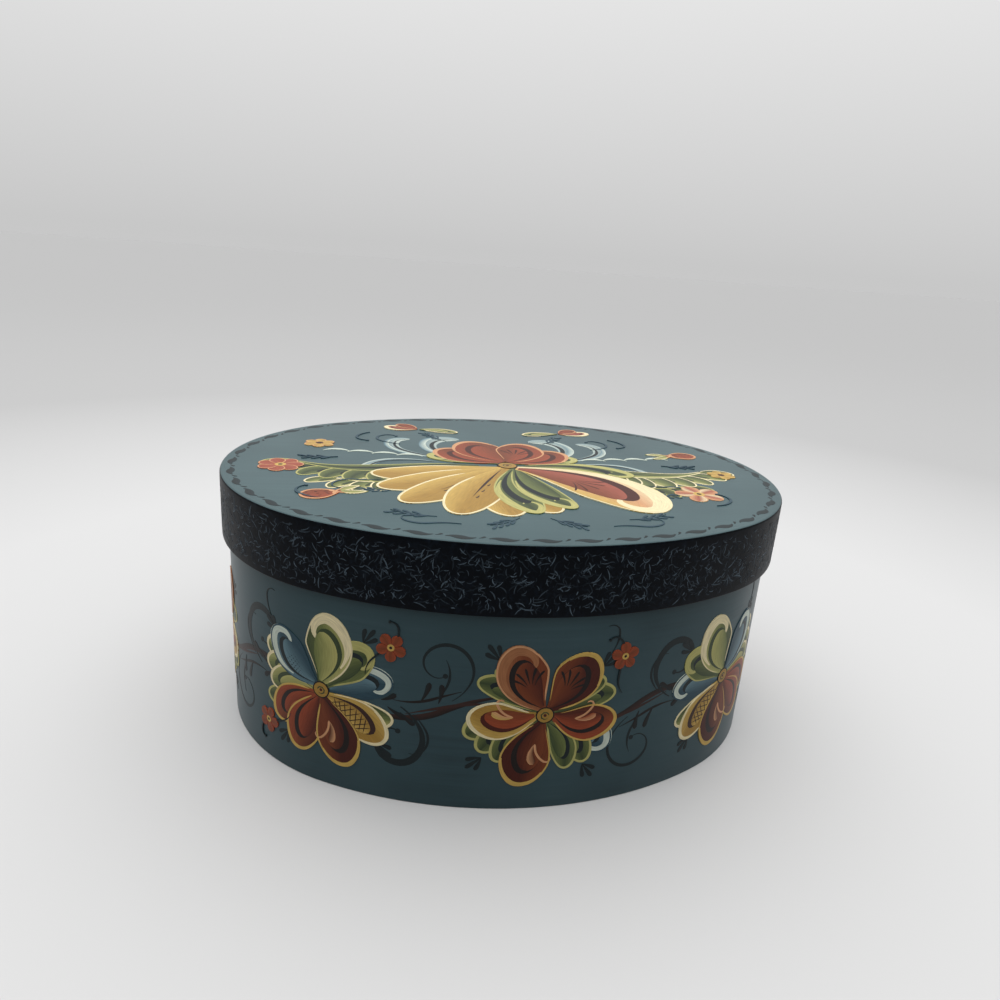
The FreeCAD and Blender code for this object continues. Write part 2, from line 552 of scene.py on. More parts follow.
@dataclass(frozen=True)
class BareWood(Finish):
    """Planed birch left bare: pale and dull, with fine level grain.

    Attributes:
        pale: the colour of the early wood.
        dark: the colour of the grain lines.
        grain_mm: width of a grain line.
        along: how fine the grain is along each axis, against across the sheet.
        growth_share: how fine the broad growth bands are, against the grain lines.
    """

    name: str = "planed_birch_bare"
    roughness: float = 0.62
    relief: float = 0.15
    pale: str = "#CFB48C"
    dark: str = "#B39166"
    grain_mm: float = 1.1
    along: Point3 = (0.04, 0.04, 1.0)
    growth_share: float = 0.12

    def grain(self, tree: bpy.types.NodeTree) -> tuple[Any, Any]:
        """Draws grain lines long in two directions and fine in the third.

        Args:
            tree: the material's tree.

        Returns:
            The colour socket and the grain's value socket.
        """
        place = add_node(tree, "ShaderNodeTexCoord").outputs["Object"]
        values = []
        for share, detail, waver in ((1.0, 5.0, 0.4), (self.growth_share, 2.0, 0.0)):
            stretch = tuple(s / (self.grain_mm * MM) * share for s in self.along)
            drawn = add_node(tree, "ShaderNodeMapping", {"Vector": place, "Scale": stretch}).outputs[0]
            shape = {"Vector": drawn, "Scale": 1.0, "Detail": detail, "Distortion": waver}
            noise = add_node(tree, "ShaderNodeTexNoise", shape)
            values.append(noise.outputs["Fac"])
        lines, growth = values
        broad = mottled(tree, rgba(self.pale), rgba(self.dark), growth, (0.35, 0.8))
        return mottled(tree, broad, rgba(self.dark), lines, (0.45, 0.95)), lines

    def dress(self, tree: bpy.types.NodeTree, surface: Any) -> None:
        """The grain colours the wood and stands up a little."""
        colour, height = self.grain(tree)
        self.lay(tree, surface, colour, height)


# The boards are planed birch too, a little browner, with long even grain lines from end to end.
BOARD = BareWood("planed_birch_board", pale="#CDB188", dark="#B08C5E", along=(0.04, 1.0, 1.0))


@dataclass(frozen=True)
class LitLidPaint(GroundPaint):
    """The ground on the lid's top, brushed along its length, and painted paler than the same paint on the
    wall, as painted light on the lit top.
    """

    name: str = "satin_oil_paint_blue_grey_lid_painted_light"
    # Paler tints than the wall's: painted light where the top is lit.
    tint: str = "#465B5F"
    light: str = "#4F6669"
    dark: str = "#3D5256"
    run: Point3 = (0.03, 1.0, 0.03)


@dataclass(frozen=True)
class LidBoardPaint(LitLidPaint):
    """The lid board: satin paint on its upper face like the band's edge, and planed birch on the inside.

    Attributes:
        painted_from: height from which the board is painted.
        paint_edge: how far below it the paint ends.
    """

    name: str = "birch_board_painted_above"
    painted_from: float = 133.4
    paint_edge: float = 0.05

    def dress(self, tree: bpy.types.NodeTree, surface: Any) -> None:
        """Lets the satin paint give way to dull bare wood just below the upper face.

        Args:
            tree: the material's tree.
            surface: its surface shader.
        """
        super().dress(tree, surface)
        paint = surface.inputs["Base Color"].links[0].from_socket
        wood, _ = BOARD.grain(tree)
        place = add_node(tree, "ShaderNodeTexCoord").outputs["Object"]
        height = add_node(tree, "ShaderNodeSeparateXYZ", {0: place}).outputs["Z"]
        low, high = (self.painted_from - self.paint_edge) * MM, self.painted_from * MM
        tree.links.new(mottled(tree, wood, paint, height, (low, high)), surface.inputs["Base Color"])
        limits = {"From Min": low, "From Max": high, "To Min": BOARD.roughness, "To Max": self.roughness}
        dull = add_node(tree, "ShaderNodeMapRange", {"Value": height, **limits})
        tree.links.new(dull.outputs["Result"], surface.inputs["Roughness"])


def new_mesh(
    name: str, points: Iterable[Sequence[float]], faces: Sequence[Sequence[int]]
) -> bpy.types.Mesh:
    """Makes a mesh from points in millimetres.

    Args:
        name: its name.
        points: its points.
        faces: its faces, by point.

    Returns:
        The mesh.
    """
    data = bpy.data.meshes.new(name)
    data.from_pydata([tuple(float(v) * MM for v in point) for point in points], [], faces)
    data.update()
    return data


def mesh_object(name: str, data: bpy.types.Mesh) -> bpy.types.Object:
    """Links a mesh into the scene as an object at the origin.

    Args:
        name: the object's name.
        data: its mesh.

    Returns:
        The object.
    """
    made = bpy.data.objects.new(name, data)
    bpy.context.scene.collection.objects.link(made)
    return made


@dataclass
class BentBand:
    """A strip bent round an oval, its outer end feathered over the inner one at the back.

    Attributes:
        name: the piece's name.
        lap: its lap, on the oval of its outside.
        thickness: the strip's thickness.
        low: height of the lower edge.
        high: height of the upper edge.
        easing: radius of its upper outer edge.
        coat: paint thickness outside.
        inner_easing: radius of its upper inner edge.
        inner_foot: radius of its lower inner edge.
        outer_foot: radius of its lower outer edge.
        stations: how many sections go round.
        levels: how many faces its outside has from edge to edge.
        turn_steps: how many faces round an edge.
    """

    name: str
    lap: Lap
    thickness: float
    low: float
    high: float
    easing: float
    coat: float
    inner_easing: float = 0.6
    inner_foot: float = 0.6
    outer_foot: float = 0.6
    stations: int = 480
    levels: int = 8
    turn_steps: int = 6

    def section(self) -> list[tuple[float, float, int]]:
        """Draws the strip's section, from its outer foot up the outside and down the inside.

        Returns:
            The depth and height of each point, and the finish of the face after it.
        """
        corner, inner, hollow = self.outer_foot, self.inner_easing, self.inner_foot
        turns = [math.radians(90 * i / self.turn_steps) for i in range(self.turn_steps + 1)]
        foot, shoulder = self.low + corner, self.high - self.easing
        points: list[tuple[float, float, int]] = []
        for i in range(self.levels + 1):
            points.append((0.0, foot + (shoulder - foot) * i / self.levels, 0))
        for i, turn in enumerate(turns[1:]):
            drop = self.easing * (1 - math.cos(turn))
            points.append((drop, shoulder + self.easing * math.sin(turn), 0 if i < 2 else 1))
        for turn in turns:
            depth = self.thickness - inner + inner * math.sin(turn)
            points.append((depth, self.high - inner + inner * math.cos(turn), 1))
        points[-1] = (*points[-1][:2], 2)
        for turn in turns:
            depth = self.thickness - hollow + hollow * math.cos(turn)
            points.append((depth, self.low + hollow - hollow * math.sin(turn), 2))
        for turn in turns[:-1]:
            points.append((corner - corner * math.sin(turn), foot - corner * math.cos(turn), 0))
        return points

    def mesh(self, finishes: Sequence[bpy.types.Material]) -> bpy.types.Object:
        """Builds the band.

        Args:
            finishes: for the outside, the upper edge, and the inside.

        Returns:
            The new object.
        """
        section = self.section()
        places = self.lap.stations(self.stations)
        verts: list[Point3] = []
        for along in places:
            (x, y), (out_x, out_y) = self.lap.oval.at(along)
            raised = self.lap.rise(along) + self.coat
            for depth, height, _ in section:
                off = raised * max(0.0, 1 - depth / self.thickness) - depth
                verts.append((x + out_x * off, y + out_y * off, height))
        count, ring = len(section), len(places)
        faces, slots = [], []
        for i in range(ring):
            j = (i + 1) % ring
            for k in range(count):
                m = (k + 1) % count
                faces.append((i * count + k, j * count + k, j * count + m, i * count + m))
                slots.append(section[k][2])
        data = new_mesh(self.name, verts, faces)
        for finish in finishes:
            data.materials.append(finish)
        data.polygons.foreach_set("material_index", slots)
        data.polygons.foreach_set("use_smooth", [True] * len(faces))
        data.update()
        return mesh_object(self.name, data)


class Load(Enum):
    """How a brush stroke's width runs from its root to its tip."""

    COMMA = "comma"
    LOBE = "lobe"
    LEAF = "leaf"
    SCROLL = "scroll"
    LINE = "line"


def cap(t: np.ndarray, start: float) -> np.ndarray:
    """Rounds a stroke off from this share of its length to its tip."""
    return np.sqrt(np.clip(1 - np.clip((t - start) / (1 - start), 0, 1) ** 2, 0, 1))


def blunt(t: np.ndarray) -> np.ndarray:
    """Starts a stroke nearly square and draws it out at its tip."""
    return np.minimum(1, np.sqrt(np.clip(t / 0.06, 0, 1))) * np.sqrt(np.clip((1 - t) / 0.3, 0, 1))


# The share of a stroke's full width at each share of its length.
WIDTHS: dict[Load, Callable[[np.ndarray], np.ndarray]] = {
    Load.COMMA: lambda t: (0.08 + 0.92 * t**0.9) * cap(t, 0.7),
    Load.LOBE: lambda t: (0.14 + 0.86 * np.sin(np.clip(t / 0.62, 0, 1) * np.pi / 2) ** 1.1) * cap(t, 0.55),
    Load.LEAF: lambda t: np.sin(np.pi * np.clip(t, 0, 1) ** 0.85) ** 0.9,
    Load.SCROLL: lambda t: 0.16 + 0.84 * np.sin(np.pi * np.clip(t, 0, 1)) ** 1.5,
    Load.LINE: blunt,
}

# How far apart the points of a drawn line are, in millimetres.
TRAIL_STEP = 0.5


def trail(root: Point, heading: float, *legs: Point) -> np.ndarray:
    """Walks a smooth line.

    Args:
        root: where it starts.
        heading: the direction it starts in, in degrees.
        legs: (length, turn in degrees) of each stretch, turning left when positive.

    Returns:
        Its points, about TRAIL_STEP apart.
    """
    x, y = root
    turn = math.radians(heading)
    points = [(x, y)]
    for length, swing in legs:
        steps = max(2, int(length / TRAIL_STEP))
        for _ in range(steps):
            turn += math.radians(swing) / steps
            x += math.cos(turn) * length / steps
            y += math.sin(turn) * length / steps
            points.append((x, y))
    return np.array(points)


def reaches(line: np.ndarray) -> np.ndarray:
    """Returns how far along a line each of its points lies."""
    return np.concatenate([[0], np.cumsum(np.linalg.norm(np.diff(line, axis=0), axis=1))])


def sampled(line: np.ndarray, reach: np.ndarray, where: np.ndarray) -> np.ndarray:
    """Returns a line's points at other places along it."""
    return np.stack([np.interp(where, reach, line[:, i]) for i in (0, 1)], axis=1)


def leftward(line: np.ndarray) -> np.ndarray:
    """Finds which way is left of a line.

    Args:
        line: its points.

    Returns:
        The unit direction at each of them.
    """
    along = np.gradient(line, axis=0)
    along /= np.maximum(np.linalg.norm(along, axis=1, keepdims=True), 1e-9)
    return np.stack([-along[:, 1], along[:, 0]], axis=1)


def ramp(stops: Stops, across: np.ndarray) -> np.ndarray:
    """Spreads a stroke's colours over its width.

    Args:
        stops: the colours, from its right edge to its left.
        across: places across it, from -1 to 1.

    Returns:
        The linear colour at each place.
    """
    values = np.array([linear(stop) for stop in stops])
    where = np.linspace(-1, 1, len(values))
    return np.stack([np.interp(across, where, values[:, i]) for i in range(3)], axis=1)


def bearing(start: np.ndarray, end: np.ndarray) -> float:
    """Returns the direction from one point to another, in degrees."""
    return math.degrees(math.atan2(*(end - start)[::-1]))


@dataclass
class Canvas:
    """Brush strokes laid flat, each a thin closed shell with its own colours and map.

    Attributes:
        lift: height of the next stroke's face.
        step: how far each stroke stands above the one before.
        sink: how far the strokes reach down into the wood.
        verts: points of each stroke.
        faces: faces of each stroke, by point.
        colours: linear colour of each point.
        maps: place of each point along and across its stroke.
        total: how many points there are.
        strokes: how many strokes there are.
    """

    lift: float = 0.05
    step: float = 0.004
    sink: float = 0.03
    verts: list[np.ndarray] = field(default_factory=list)
    faces: list[np.ndarray] = field(default_factory=list)
    colours: list[np.ndarray] = field(default_factory=list)
    maps: list[np.ndarray] = field(default_factory=list)
    total: int = 0
    strokes: int = 0

    def add(
        self,
        spine: np.ndarray,
        edge: np.ndarray,
        across: np.ndarray,
        crown: float,
        colours: np.ndarray,
        maps: np.ndarray,
    ) -> None:
        """Adds one stroke as a closed shell.

        Args:
            spine: points of its middle line.
            edge: the way from each of them to its left edge.
            across: places across it, from -1 at its right edge to 1 at its left.
            crown: how far its middle stands over its edges.
            colours: linear colours, by row and column.
            maps: places along and across the bristle pattern, by row and column.
        """
        rows, columns = len(spine), len(across)
        top = np.zeros((rows, columns, 3))
        top[..., :2] = spine[:, None] + edge[:, None] * across[:, None]
        top[..., 2] = self.lift + crown * (1 - across**2)
        bottom = top[:, [0, -1]]
        bottom[..., 2] = -self.sink
        base = rows * columns
        quads = []
        for i in range(rows - 1):
            a, b = i * columns, (i + 1) * columns
            low_a, low_b = base + 2 * i, base + 2 * (i + 1)
            for k in range(columns - 1):
                quads.append((a + k, b + k, b + k + 1, a + k + 1))
            quads.append((low_a, low_b, b, a))
            quads.append((a + columns - 1, b + columns - 1, low_b + 1, low_a + 1))
            quads.append((low_a + 1, low_b + 1, low_b, low_a))
        # The two ends are closed by fans of triangles, which have -1 in place of a fourth point.
        first_end = [base, *range(columns), base + 1]
        last_end = [base + 2 * rows - 1, *range(base - 1, base - columns - 1, -1), base + 2 * rows - 2]
        fans = [(e[0], e[k], e[k + 1], -1) for e in (first_end, last_end) for k in range(1, len(e) - 1)]
        shell = np.array(quads + fans)
        self.faces.append(np.where(shell < 0, -1, shell + self.total))
        for kept, values, under in (
            (self.verts, top, bottom),
            (self.colours, colours, colours[:, [0, -1]]),
            (self.maps, maps, maps[:, [0, -1]]),
        ):
            wide = values.shape[-1]
            kept.append(np.vstack([values.reshape(-1, wide), under.reshape(-1, wide)]))
        self.total += base + 2 * rows
        self.strokes += 1
        self.lift += self.step

    def mesh(self, name: str, finish: bpy.types.Material) -> bpy.types.Object:
        """Turns the strokes into one object in metres.

        Args:
            name: the object's name.
            finish: the strokes' finish.

        Returns:
            The object.
        """
        faces = [tuple(int(v) for v in face if v >= 0) for face in np.vstack(self.faces)]
        data = new_mesh(name, np.vstack(self.verts), faces)
        paint = data.color_attributes.new("paint", "FLOAT_COLOR", "POINT")
        tints = np.hstack([np.vstack(self.colours), np.ones((self.total, 1))]).astype(np.float32)
        paint.data.foreach_set("color", tints.ravel())
        own_map = data.uv_layers.new(name="stroke")
        corners = np.zeros(len(data.loops), np.int32)
        data.loops.foreach_get("vertex_index", corners)
        own_map.data.foreach_set("uv", (np.vstack(self.maps) * MM)[corners].astype(np.float32).ravel())
        data.materials.append(finish)
        data.update()
        return mesh_object(name, data)


# How far apart a stroke's points stand in millimetres, and the least and most of them, along the stroke
# and from its middle to its edge.
ROW_SPACING, FEWEST_ROWS, MOST_ROWS = 1.1, 9, 44
COLUMN_SPACING, FEWEST_COLUMNS, MOST_COLUMNS = 2.6, 2, 11
EDGE_SPACING, FEWEST_EDGE_ROWS, MOST_EDGE_ROWS = 0.9, 12, 90
DISC_SPACING = 1.6
# Half of the least width that a stroke is drawn out to.
FINEST = 0.03
# How far a stroke's middle stands over its edges, as a share of the step to the next stroke.
CROWN = 0.15
# How far apart the strokes' places on the bristle pattern are, so that no two look alike.
STROKE_SHIFT, DISC_SHIFT = 37.0, 11.0


@dataclass
class Brush:
    """A brush at a place on a canvas, which may be turned, sized or mirrored.

    Attributes:
        canvas: what it paints on.
        x: place of the motif's origin to the right.
        y: place of the motif's origin upwards.
        turn: the motif's turn in degrees.
        size: the motif's size.
        mirror: whether the motif is drawn left for right.
        edge_inset: how far an edge line keeps inside its stroke, as a share of its own width.
    """

    canvas: Canvas
    x: float = 0.0
    y: float = 0.0
    turn: float = 0.0
    size: float = 1.0
    mirror: bool = False
    edge_inset: float = 0.42

    def at(self, x: float, y: float, turn: float = 0.0, size: float = 1.0, mirror: bool = False) -> Brush:
        """Makes a brush for a motif placed inside this one.

        Args:
            x: place of the motif to the right.
            y: place of the motif upwards.
            turn: its turn in degrees, anticlockwise.
            size: its size.
            mirror: whether it is drawn left for right.

        Returns:
            The brush.
        """
        px, py = self.place(np.array([(x, y)]))[0]
        turned = self.turn + (-turn if self.mirror else turn)
        return Brush(self.canvas, float(px), float(py), turned, self.size * size, self.mirror != mirror)

    def place(self, points: np.ndarray) -> np.ndarray:
        """Carries local points to the canvas.

        Args:
            points: the points, one in each row.

        Returns:
            The same points on the canvas.
        """
        local = points * self.size
        if self.mirror:
            local = local * np.array([-1.0, 1.0])
        angle = math.radians(self.turn)
        spin = np.array([[math.cos(angle), math.sin(angle)], [-math.sin(angle), math.cos(angle)]])
        return local @ spin + np.array([self.x, self.y])

    def ribbon(
        self,
        path: np.ndarray,
        width: float,
        load: Load,
        root: Stops,
        tip: Stops | None = None,
        rows: int = 0,
    ) -> tuple[np.ndarray, np.ndarray]:
        """Lays one stroke.

        Args:
            path: local points of its middle.
            width: its full width where it is widest.
            load: how the width runs.
            root: colours across its root, from its right edge to its left.
            tip: colours across its tip, if they differ.
            rows: points along it, or 0 to choose by its length.

        Returns:
            The canvas points of its right edge and of its left edge.
        """
        line = self.place(path)
        reach = reaches(line)
        rows = rows or int(np.clip(reach[-1] / ROW_SPACING, FEWEST_ROWS, MOST_ROWS))
        even = np.linspace(0, 1, rows)
        # The points stand closer at both ends, where the width changes most.
        t = 0.5 * (0.5 - 0.5 * np.cos(np.pi * even)) + 0.5 * even
        spine = sampled(line, reach, t * reach[-1])
        half = np.maximum(WIDTHS[load](t) * width * self.size / 2, FINEST)
        edge = leftward(spine) * half[:, None]
        columns = 2 * int(np.clip(width * self.size / COLUMN_SPACING, FEWEST_COLUMNS, MOST_COLUMNS)) + 1
        across = np.linspace(-1, 1, columns)
        near, far = (ramp(stops[::-1] if self.mirror else stops, across) for stops in (root, tip or root))
        tints = near * (1 - t[:, None, None]) + far * t[:, None, None]
        walked = t * reach[-1] + STROKE_SHIFT * self.canvas.strokes
        walked = np.repeat(walked[:, None], columns, axis=1)
        maps = np.stack([walked, half[:, None] * across + width], axis=2)
        self.canvas.add(spine, edge, across, self.canvas.step * CROWN, tints, maps)
        return spine - edge, spine + edge

    def edge(
        self,
        sides: tuple[np.ndarray, np.ndarray],
        width: float,
        tint: str,
        span: Point = (0.04, 0.96),
        load: Load = Load.LINE,
        flip: bool = False,
        curl: float = 0.0,
    ) -> None:
        """Runs a line just inside a stroke's edge.

        Args:
            sides: the stroke's right and left edges on the canvas.
            width: the line's width.
            tint: its colour.
            span: where it starts and ends, from 0 at the root up the right edge to 1 down the left.
            load: how its width runs.
            flip: whether span runs up the left edge instead.
            curl: length of the curl inwards at its end.
        """
        around = np.vstack([sides[0][:-1], sides[1][::-1]])
        reach = reaches(around)
        long = reach[-1] * (span[1] - span[0])
        count = int(np.clip(long / EDGE_SPACING, FEWEST_EDGE_ROWS, MOST_EDGE_ROWS))
        where = np.linspace(*span, count)
        side = -1 if flip else 1
        where = (1 - where if flip else where) * reach[-1]
        line = sampled(around, reach, where)
        soft = np.vstack([line[:1], (line[:-2] + 2 * line[1:-1] + line[2:]) / 4, line[-1:]])
        grown = width * self.size
        path = soft + leftward(soft) * side * grown * self.edge_inset
        if curl:
            ahead = bearing(path[-2], path[-1])
            half = curl * self.size * 0.5
            hook = trail(tuple(path[-1]), ahead, (half, side * 60), (half, side * 120))
            path = np.vstack([path, hook[1:]])
        Brush(self.canvas).ribbon(path, grown, load, (tint,), rows=count)

    def disc(self, x: float, y: float, radius: float, tint: str, sides: int = 16) -> None:
        """Dabs a round spot.

        Args:
            x: place of its middle to the right.
            y: place of its middle upwards.
            radius: its radius.
            tint: its colour.
            sides: how many corners its outline has.
        """
        middle, end = self.place(np.array([(x, y), (x + radius, y)]))
        grown = radius * self.size
        axis = (end - middle) / grown
        rows = np.sin(np.linspace(-np.pi / 2, np.pi / 2, sides // 2 + 1))[:, None]
        half = np.maximum(np.sqrt(np.maximum(0.0, 1 - rows**2)) * grown, FINEST)
        across = np.linspace(-1, 1, 3 + 2 * int(grown / DISC_SPACING))
        edge = np.array([-axis[1], axis[0]]) * half
        tints = np.broadcast_to(linear(tint), (len(rows), len(across), 3))
        walked = np.repeat(rows * grown + DISC_SHIFT * self.canvas.strokes, len(across), axis=1)
        maps = np.stack([walked, half * across + grown], axis=2)
        self.canvas.add(middle + axis * rows * grown, edge, across, 0.0, tints, maps)


class Fill(Enum):
    """What is drawn inside a petal."""

    PLAIN = "plain"
    FAN = "fan"
    LATTICE = "lattice"
    DROP = "drop"


@dataclass(frozen=True)
class Blend:
    """A petal's colours.

    Attributes:
        body: across the petal, from its right edge to its left.
        inner: across the lighter field inside it.
        dark: the crescent between the two.
        rim: the thin line round it.
        glow: the light marks inside it.
    """

    body: Stops
    inner: Stops
    dark: str
    rim: str
    glow: str = Tint.PEACH


OLIVE = Blend((Tint.FERN, Tint.MOSS, Tint.FERN), (Tint.FERN, Tint.MOSS), Tint.PINE, Tint.LIME)
SAGE = Blend((Tint.LIME, Tint.FERN, Tint.MOSS), (Tint.LIME, Tint.FERN), Tint.MOSS, Tint.CREAM)
WATER = Blend((Tint.STEEL, Tint.SLATE, Tint.SLATE), (Tint.STEEL, Tint.SLATE), Tint.PINE, Tint.SLATE)
RUSSET = Blend((Tint.TAN, Tint.RUST, Tint.RUST), (Tint.RUST, Tint.BRICK), Tint.INK, Tint.PEACH)
CHESTNUT = Blend((Tint.BRICK, Tint.BRICK, Tint.RUST), (Tint.BRICK, Tint.RUST), Tint.INK, Tint.GOLD)
FLAME = Blend((Tint.EMBER, Tint.RUST, Tint.BRICK), (Tint.EMBER, Tint.BRICK), Tint.INK, Tint.GOLD)
AMBER = Blend((Tint.GOLD, Tint.OCHRE, Tint.OCHRE), (Tint.EMBER, Tint.RUST), Tint.BRICK, Tint.CREAM)
HONEY = Blend((Tint.GOLD, Tint.OCHRE, Tint.OCHRE), (Tint.OCHRE, Tint.GOLD), Tint.BARK, Tint.CREAM)
POPPY = Blend((Tint.EMBER, Tint.RUST, Tint.RUST), (Tint.EMBER, Tint.RUST), Tint.BRICK, Tint.PEACH)
CREAMED = Blend((Tint.CREAM, Tint.PEACH, Tint.GOLD), (Tint.ROSE, Tint.RUST), Tint.BRICK, Tint.CREAM)
BLUSH = Blend((Tint.PEACH, Tint.ROSE, Tint.RUST), (Tint.ROSE, Tint.RUST), Tint.BRICK, Tint.CREAM)


@dataclass(frozen=True)
class Petal:
    """One blended petal: a bent lobe with a pale rim, and a dark crescent round a field inside it.

    Attributes:
        heading: its direction from the flower's heart.
        length: its length.
        turn: how far it bends, to the left when positive.
        width: its width.
        blend: its colours.
        crest: the colour of a broad crescent round its tip, if it has one.
        fill: what is drawn inside it.
    """

    heading: float
    length: float
    turn: float
    width: float
    blend: Blend
    crest: str = ""
    fill: Fill = Fill.PLAIN

    def spine(self, start: float, share: float, lean: float = 0.0) -> np.ndarray:
        """Draws the petal's middle line from a way off the heart.

        Args:
            start: distance of the line's root from the heart.
            share: the share of the petal that it runs.
            lean: how far it is turned against the petal, in degrees.

        Returns:
            Its points.
        """
        aim = math.radians(self.heading)
        half = (self.length - start) * share * 0.5
        turn = self.turn * share
        heading = self.heading - self.turn * 0.42 + lean
        root = (start * math.cos(aim), start * math.sin(aim))
        return trail(root, heading, (half, turn * 0.35), (half, turn * 0.65))

    def paint(self, brush: Brush, start: float = 3.4) -> None:
        """Paints the petal.

        Args:
            brush: the brush at the flower's heart.
            start: distance of its root from the heart.
        """
        blend = self.blend
        inside = math.copysign(1.0, self.turn)
        body = blend.body if self.turn > 0 else blend.body[::-1]
        lighter = blend.inner if self.turn > 0 else blend.inner[::-1]
        sides = brush.ribbon(self.spine(start, 1.0), self.width, Load.LOBE, body)
        flip = (self.turn < 0) != brush.mirror
        if self.crest:
            curl = self.width * 0.62
            brush.edge(sides, self.width * 0.23, self.crest, (0.16, 0.6), Load.SCROLL, flip, curl)
        brush.ribbon(self.spine(start + 1.5, 0.8), self.width * 0.6, Load.LOBE, (blend.dark,))
        middle = self.spine(start + 1.5, 0.74, inside * 4)
        inner = brush.ribbon(middle, self.width * 0.5, Load.LOBE, lighter)
        self.draw_fill(brush, inner, start, inside)
        brush.edge(sides, 0.85, blend.rim)
        if not self.crest:
            brush.edge(sides, self.width * 0.1, blend.rim, (0.3, 0.68), Load.SCROLL, flip)

    def draw_fill(
        self, brush: Brush, inner: tuple[np.ndarray, np.ndarray], start: float, inside: float
    ) -> None:
        """Draws the marks inside the petal.

        Args:
            brush: the brush at the flower's heart.
            inner: the edges of the field inside the petal.
            start: distance of the petal's root from the heart.
            inside: 1 for a petal that bends to the left, and -1.
        """
        if self.fill is Fill.FAN:
            spot = self.spine(start, 0.36, inside * 4)[-1]
            for swing in (-56, -30, 0, 30, 56):
                mark = trail((0, 0), self.heading + swing * 0.5, (self.width * 0.36, swing * 0.6))
                aim = math.radians(self.heading + swing)
                away = np.array([math.cos(aim), math.sin(aim)])
                brush.ribbon(mark + spot + away * 2.2, 1.5, Load.COMMA, (self.blend.dark,))
        if self.fill is Fill.DROP:
            spot = self.spine(start, 0.34, inside * 8)[-1]
            long = self.length * 0.3
            drop = trail(tuple(spot), self.heading - inside * 22, (long, inside * 66))
            brush.ribbon(drop, self.width * 0.2, Load.COMMA, (self.blend.glow, self.blend.body[0]))
            curl = trail(tuple(spot), self.heading + inside * 8, (long, inside * 60), (5, inside * 160))
            brush.ribbon(curl, 1.1, Load.LINE, (self.blend.glow,))
        if self.fill is Fill.LATTICE:
            for index in range(3, len(inner[0]) - 6, 2):
                for one, other in (inner, inner[::-1]):
                    bar = np.array([one[index], (one[index] + other[index + 4]) / 2, other[index + 4]])
                    Brush(brush.canvas).ribbon(bar, 0.5, Load.LINE, (self.blend.dark,), rows=5)


def lobed(petal: Petal, count: int, swing: float, share: float = 0.93) -> tuple[Petal, ...]:
    """Lays smaller petals beside a petal, each over the one before.

    Args:
        petal: the first petal.
        count: how many there are with it.
        swing: how far each is turned from the one before, in degrees.
        share: the size of each against the one before.

    Returns:
        The petals, the undermost first.
    """
    return tuple(
        replace(
            petal,
            heading=petal.heading + swing * index,
            length=petal.length * share**index,
            width=petal.width * share**index,
        )
        for index in range(count)
    )


# The petals of the wall's three kinds of blossom, the undermost first.
BLOSSOMS: tuple[tuple[Petal, ...], ...] = (
    (
        *lobed(Petal(158, 37, 44, 13, OLIVE), 2, -16),
        *lobed(Petal(20, 36, -46, 14, OLIVE), 2, 15),
        *lobed(Petal(204, 39, 44, 16, OLIVE), 3, 16),
        Petal(330, 40, -56, 19, WATER, Tint.FROST),
        *lobed(Petal(314, 36, -44, 14, OLIVE), 2, -16),
        Petal(184, 36, -58, 20, AMBER, "", Fill.DROP),
        Petal(264, 40, 30, 24, CHESTNUT, "", Fill.DROP),
        Petal(2, 37, 62, 20, FLAME, "", Fill.DROP),
        Petal(66, 37, 40, 24, CHESTNUT, "", Fill.FAN),
        Petal(114, 39, -62, 24, RUSSET, Tint.TAN, Fill.FAN),
    ),
    (
        *lobed(Petal(200, 38, -40, 14, SAGE), 2, 15),
        *lobed(Petal(346, 38, 44, 14, OLIVE), 2, -14),
        Petal(172, 38, 40, 18, WATER, Tint.FROST),
        *lobed(Petal(30, 38, -48, 17, SAGE), 3, -17),
        Petal(146, 37, 50, 20, OLIVE, Tint.LIME),
        Petal(54, 38, 52, 21, WATER, Tint.FROST),
        Petal(94, 40, -72, 25, SAGE, Tint.CREAM),
        Petal(222, 39, 30, 20, HONEY, "", Fill.LATTICE),
        Petal(324, 37, -48, 19, FLAME, "", Fill.DROP),
        Petal(298, 40, -26, 20, FLAME),
        Petal(262, 41, 24, 23, CHESTNUT, "", Fill.DROP),
    ),
    (
        *lobed(Petal(210, 38, 40, 14, OLIVE), 2, 15),
        *lobed(Petal(346, 38, -44, 14, OLIVE), 3, -15),
        Petal(190, 38, -46, 18, WATER, Tint.FROST),
        *lobed(Petal(20, 38, 48, 16, SAGE, Tint.CREAM), 2, -18),
        Petal(310, 39, 44, 20, OLIVE, Tint.LIME),
        Petal(238, 39, -56, 22, FLAME, "", Fill.DROP),
        Petal(276, 40, 34, 24, RUSSET, "", Fill.FAN),
        Petal(158, 37, 60, 20, AMBER, "", Fill.DROP),
        Petal(42, 38, -56, 22, BLUSH, Tint.CREAM),
        Petal(102, 39, 60, 25, BLUSH, Tint.CREAM, Fill.FAN),
    ),
)


def button(brush: Brush, radius: float = 4.4) -> None:
    """Paints a flower's heart: an ochre disc with a dark edge and a turn of line in it.

    Args:
        brush: the brush at its middle.
        radius: its radius.
    """
    brush.disc(0, 0, radius, Tint.INK)
    brush.disc(0, 0, radius * 0.86, Tint.OCHRE)
    ring = trail((radius * 0.42, 0), 90, (2 * math.pi * radius * 0.42 * 0.9, 324))
    brush.ribbon(ring, 0.7, Load.LINE, (Tint.MOSS,))
    brush.disc(0, 0, radius * 0.18, Tint.BRICK)


def sprig(brush: Brush, tint: str = Tint.PINE, long: float = 7.0) -> None:
    """Paints three dark comma leaves that fan from one point.

    Args:
        brush: the brush at their root.
        tint: their colour.
        long: length of the middle one.
    """
    for swing, share in ((-38, 0.8), (0, 1.0), (38, 0.8)):
        leaf = trail((0, 0), 90 + swing, (long * share, -swing * 0.5))
        brush.ribbon(leaf, long * 0.3, Load.COMMA, (tint,))


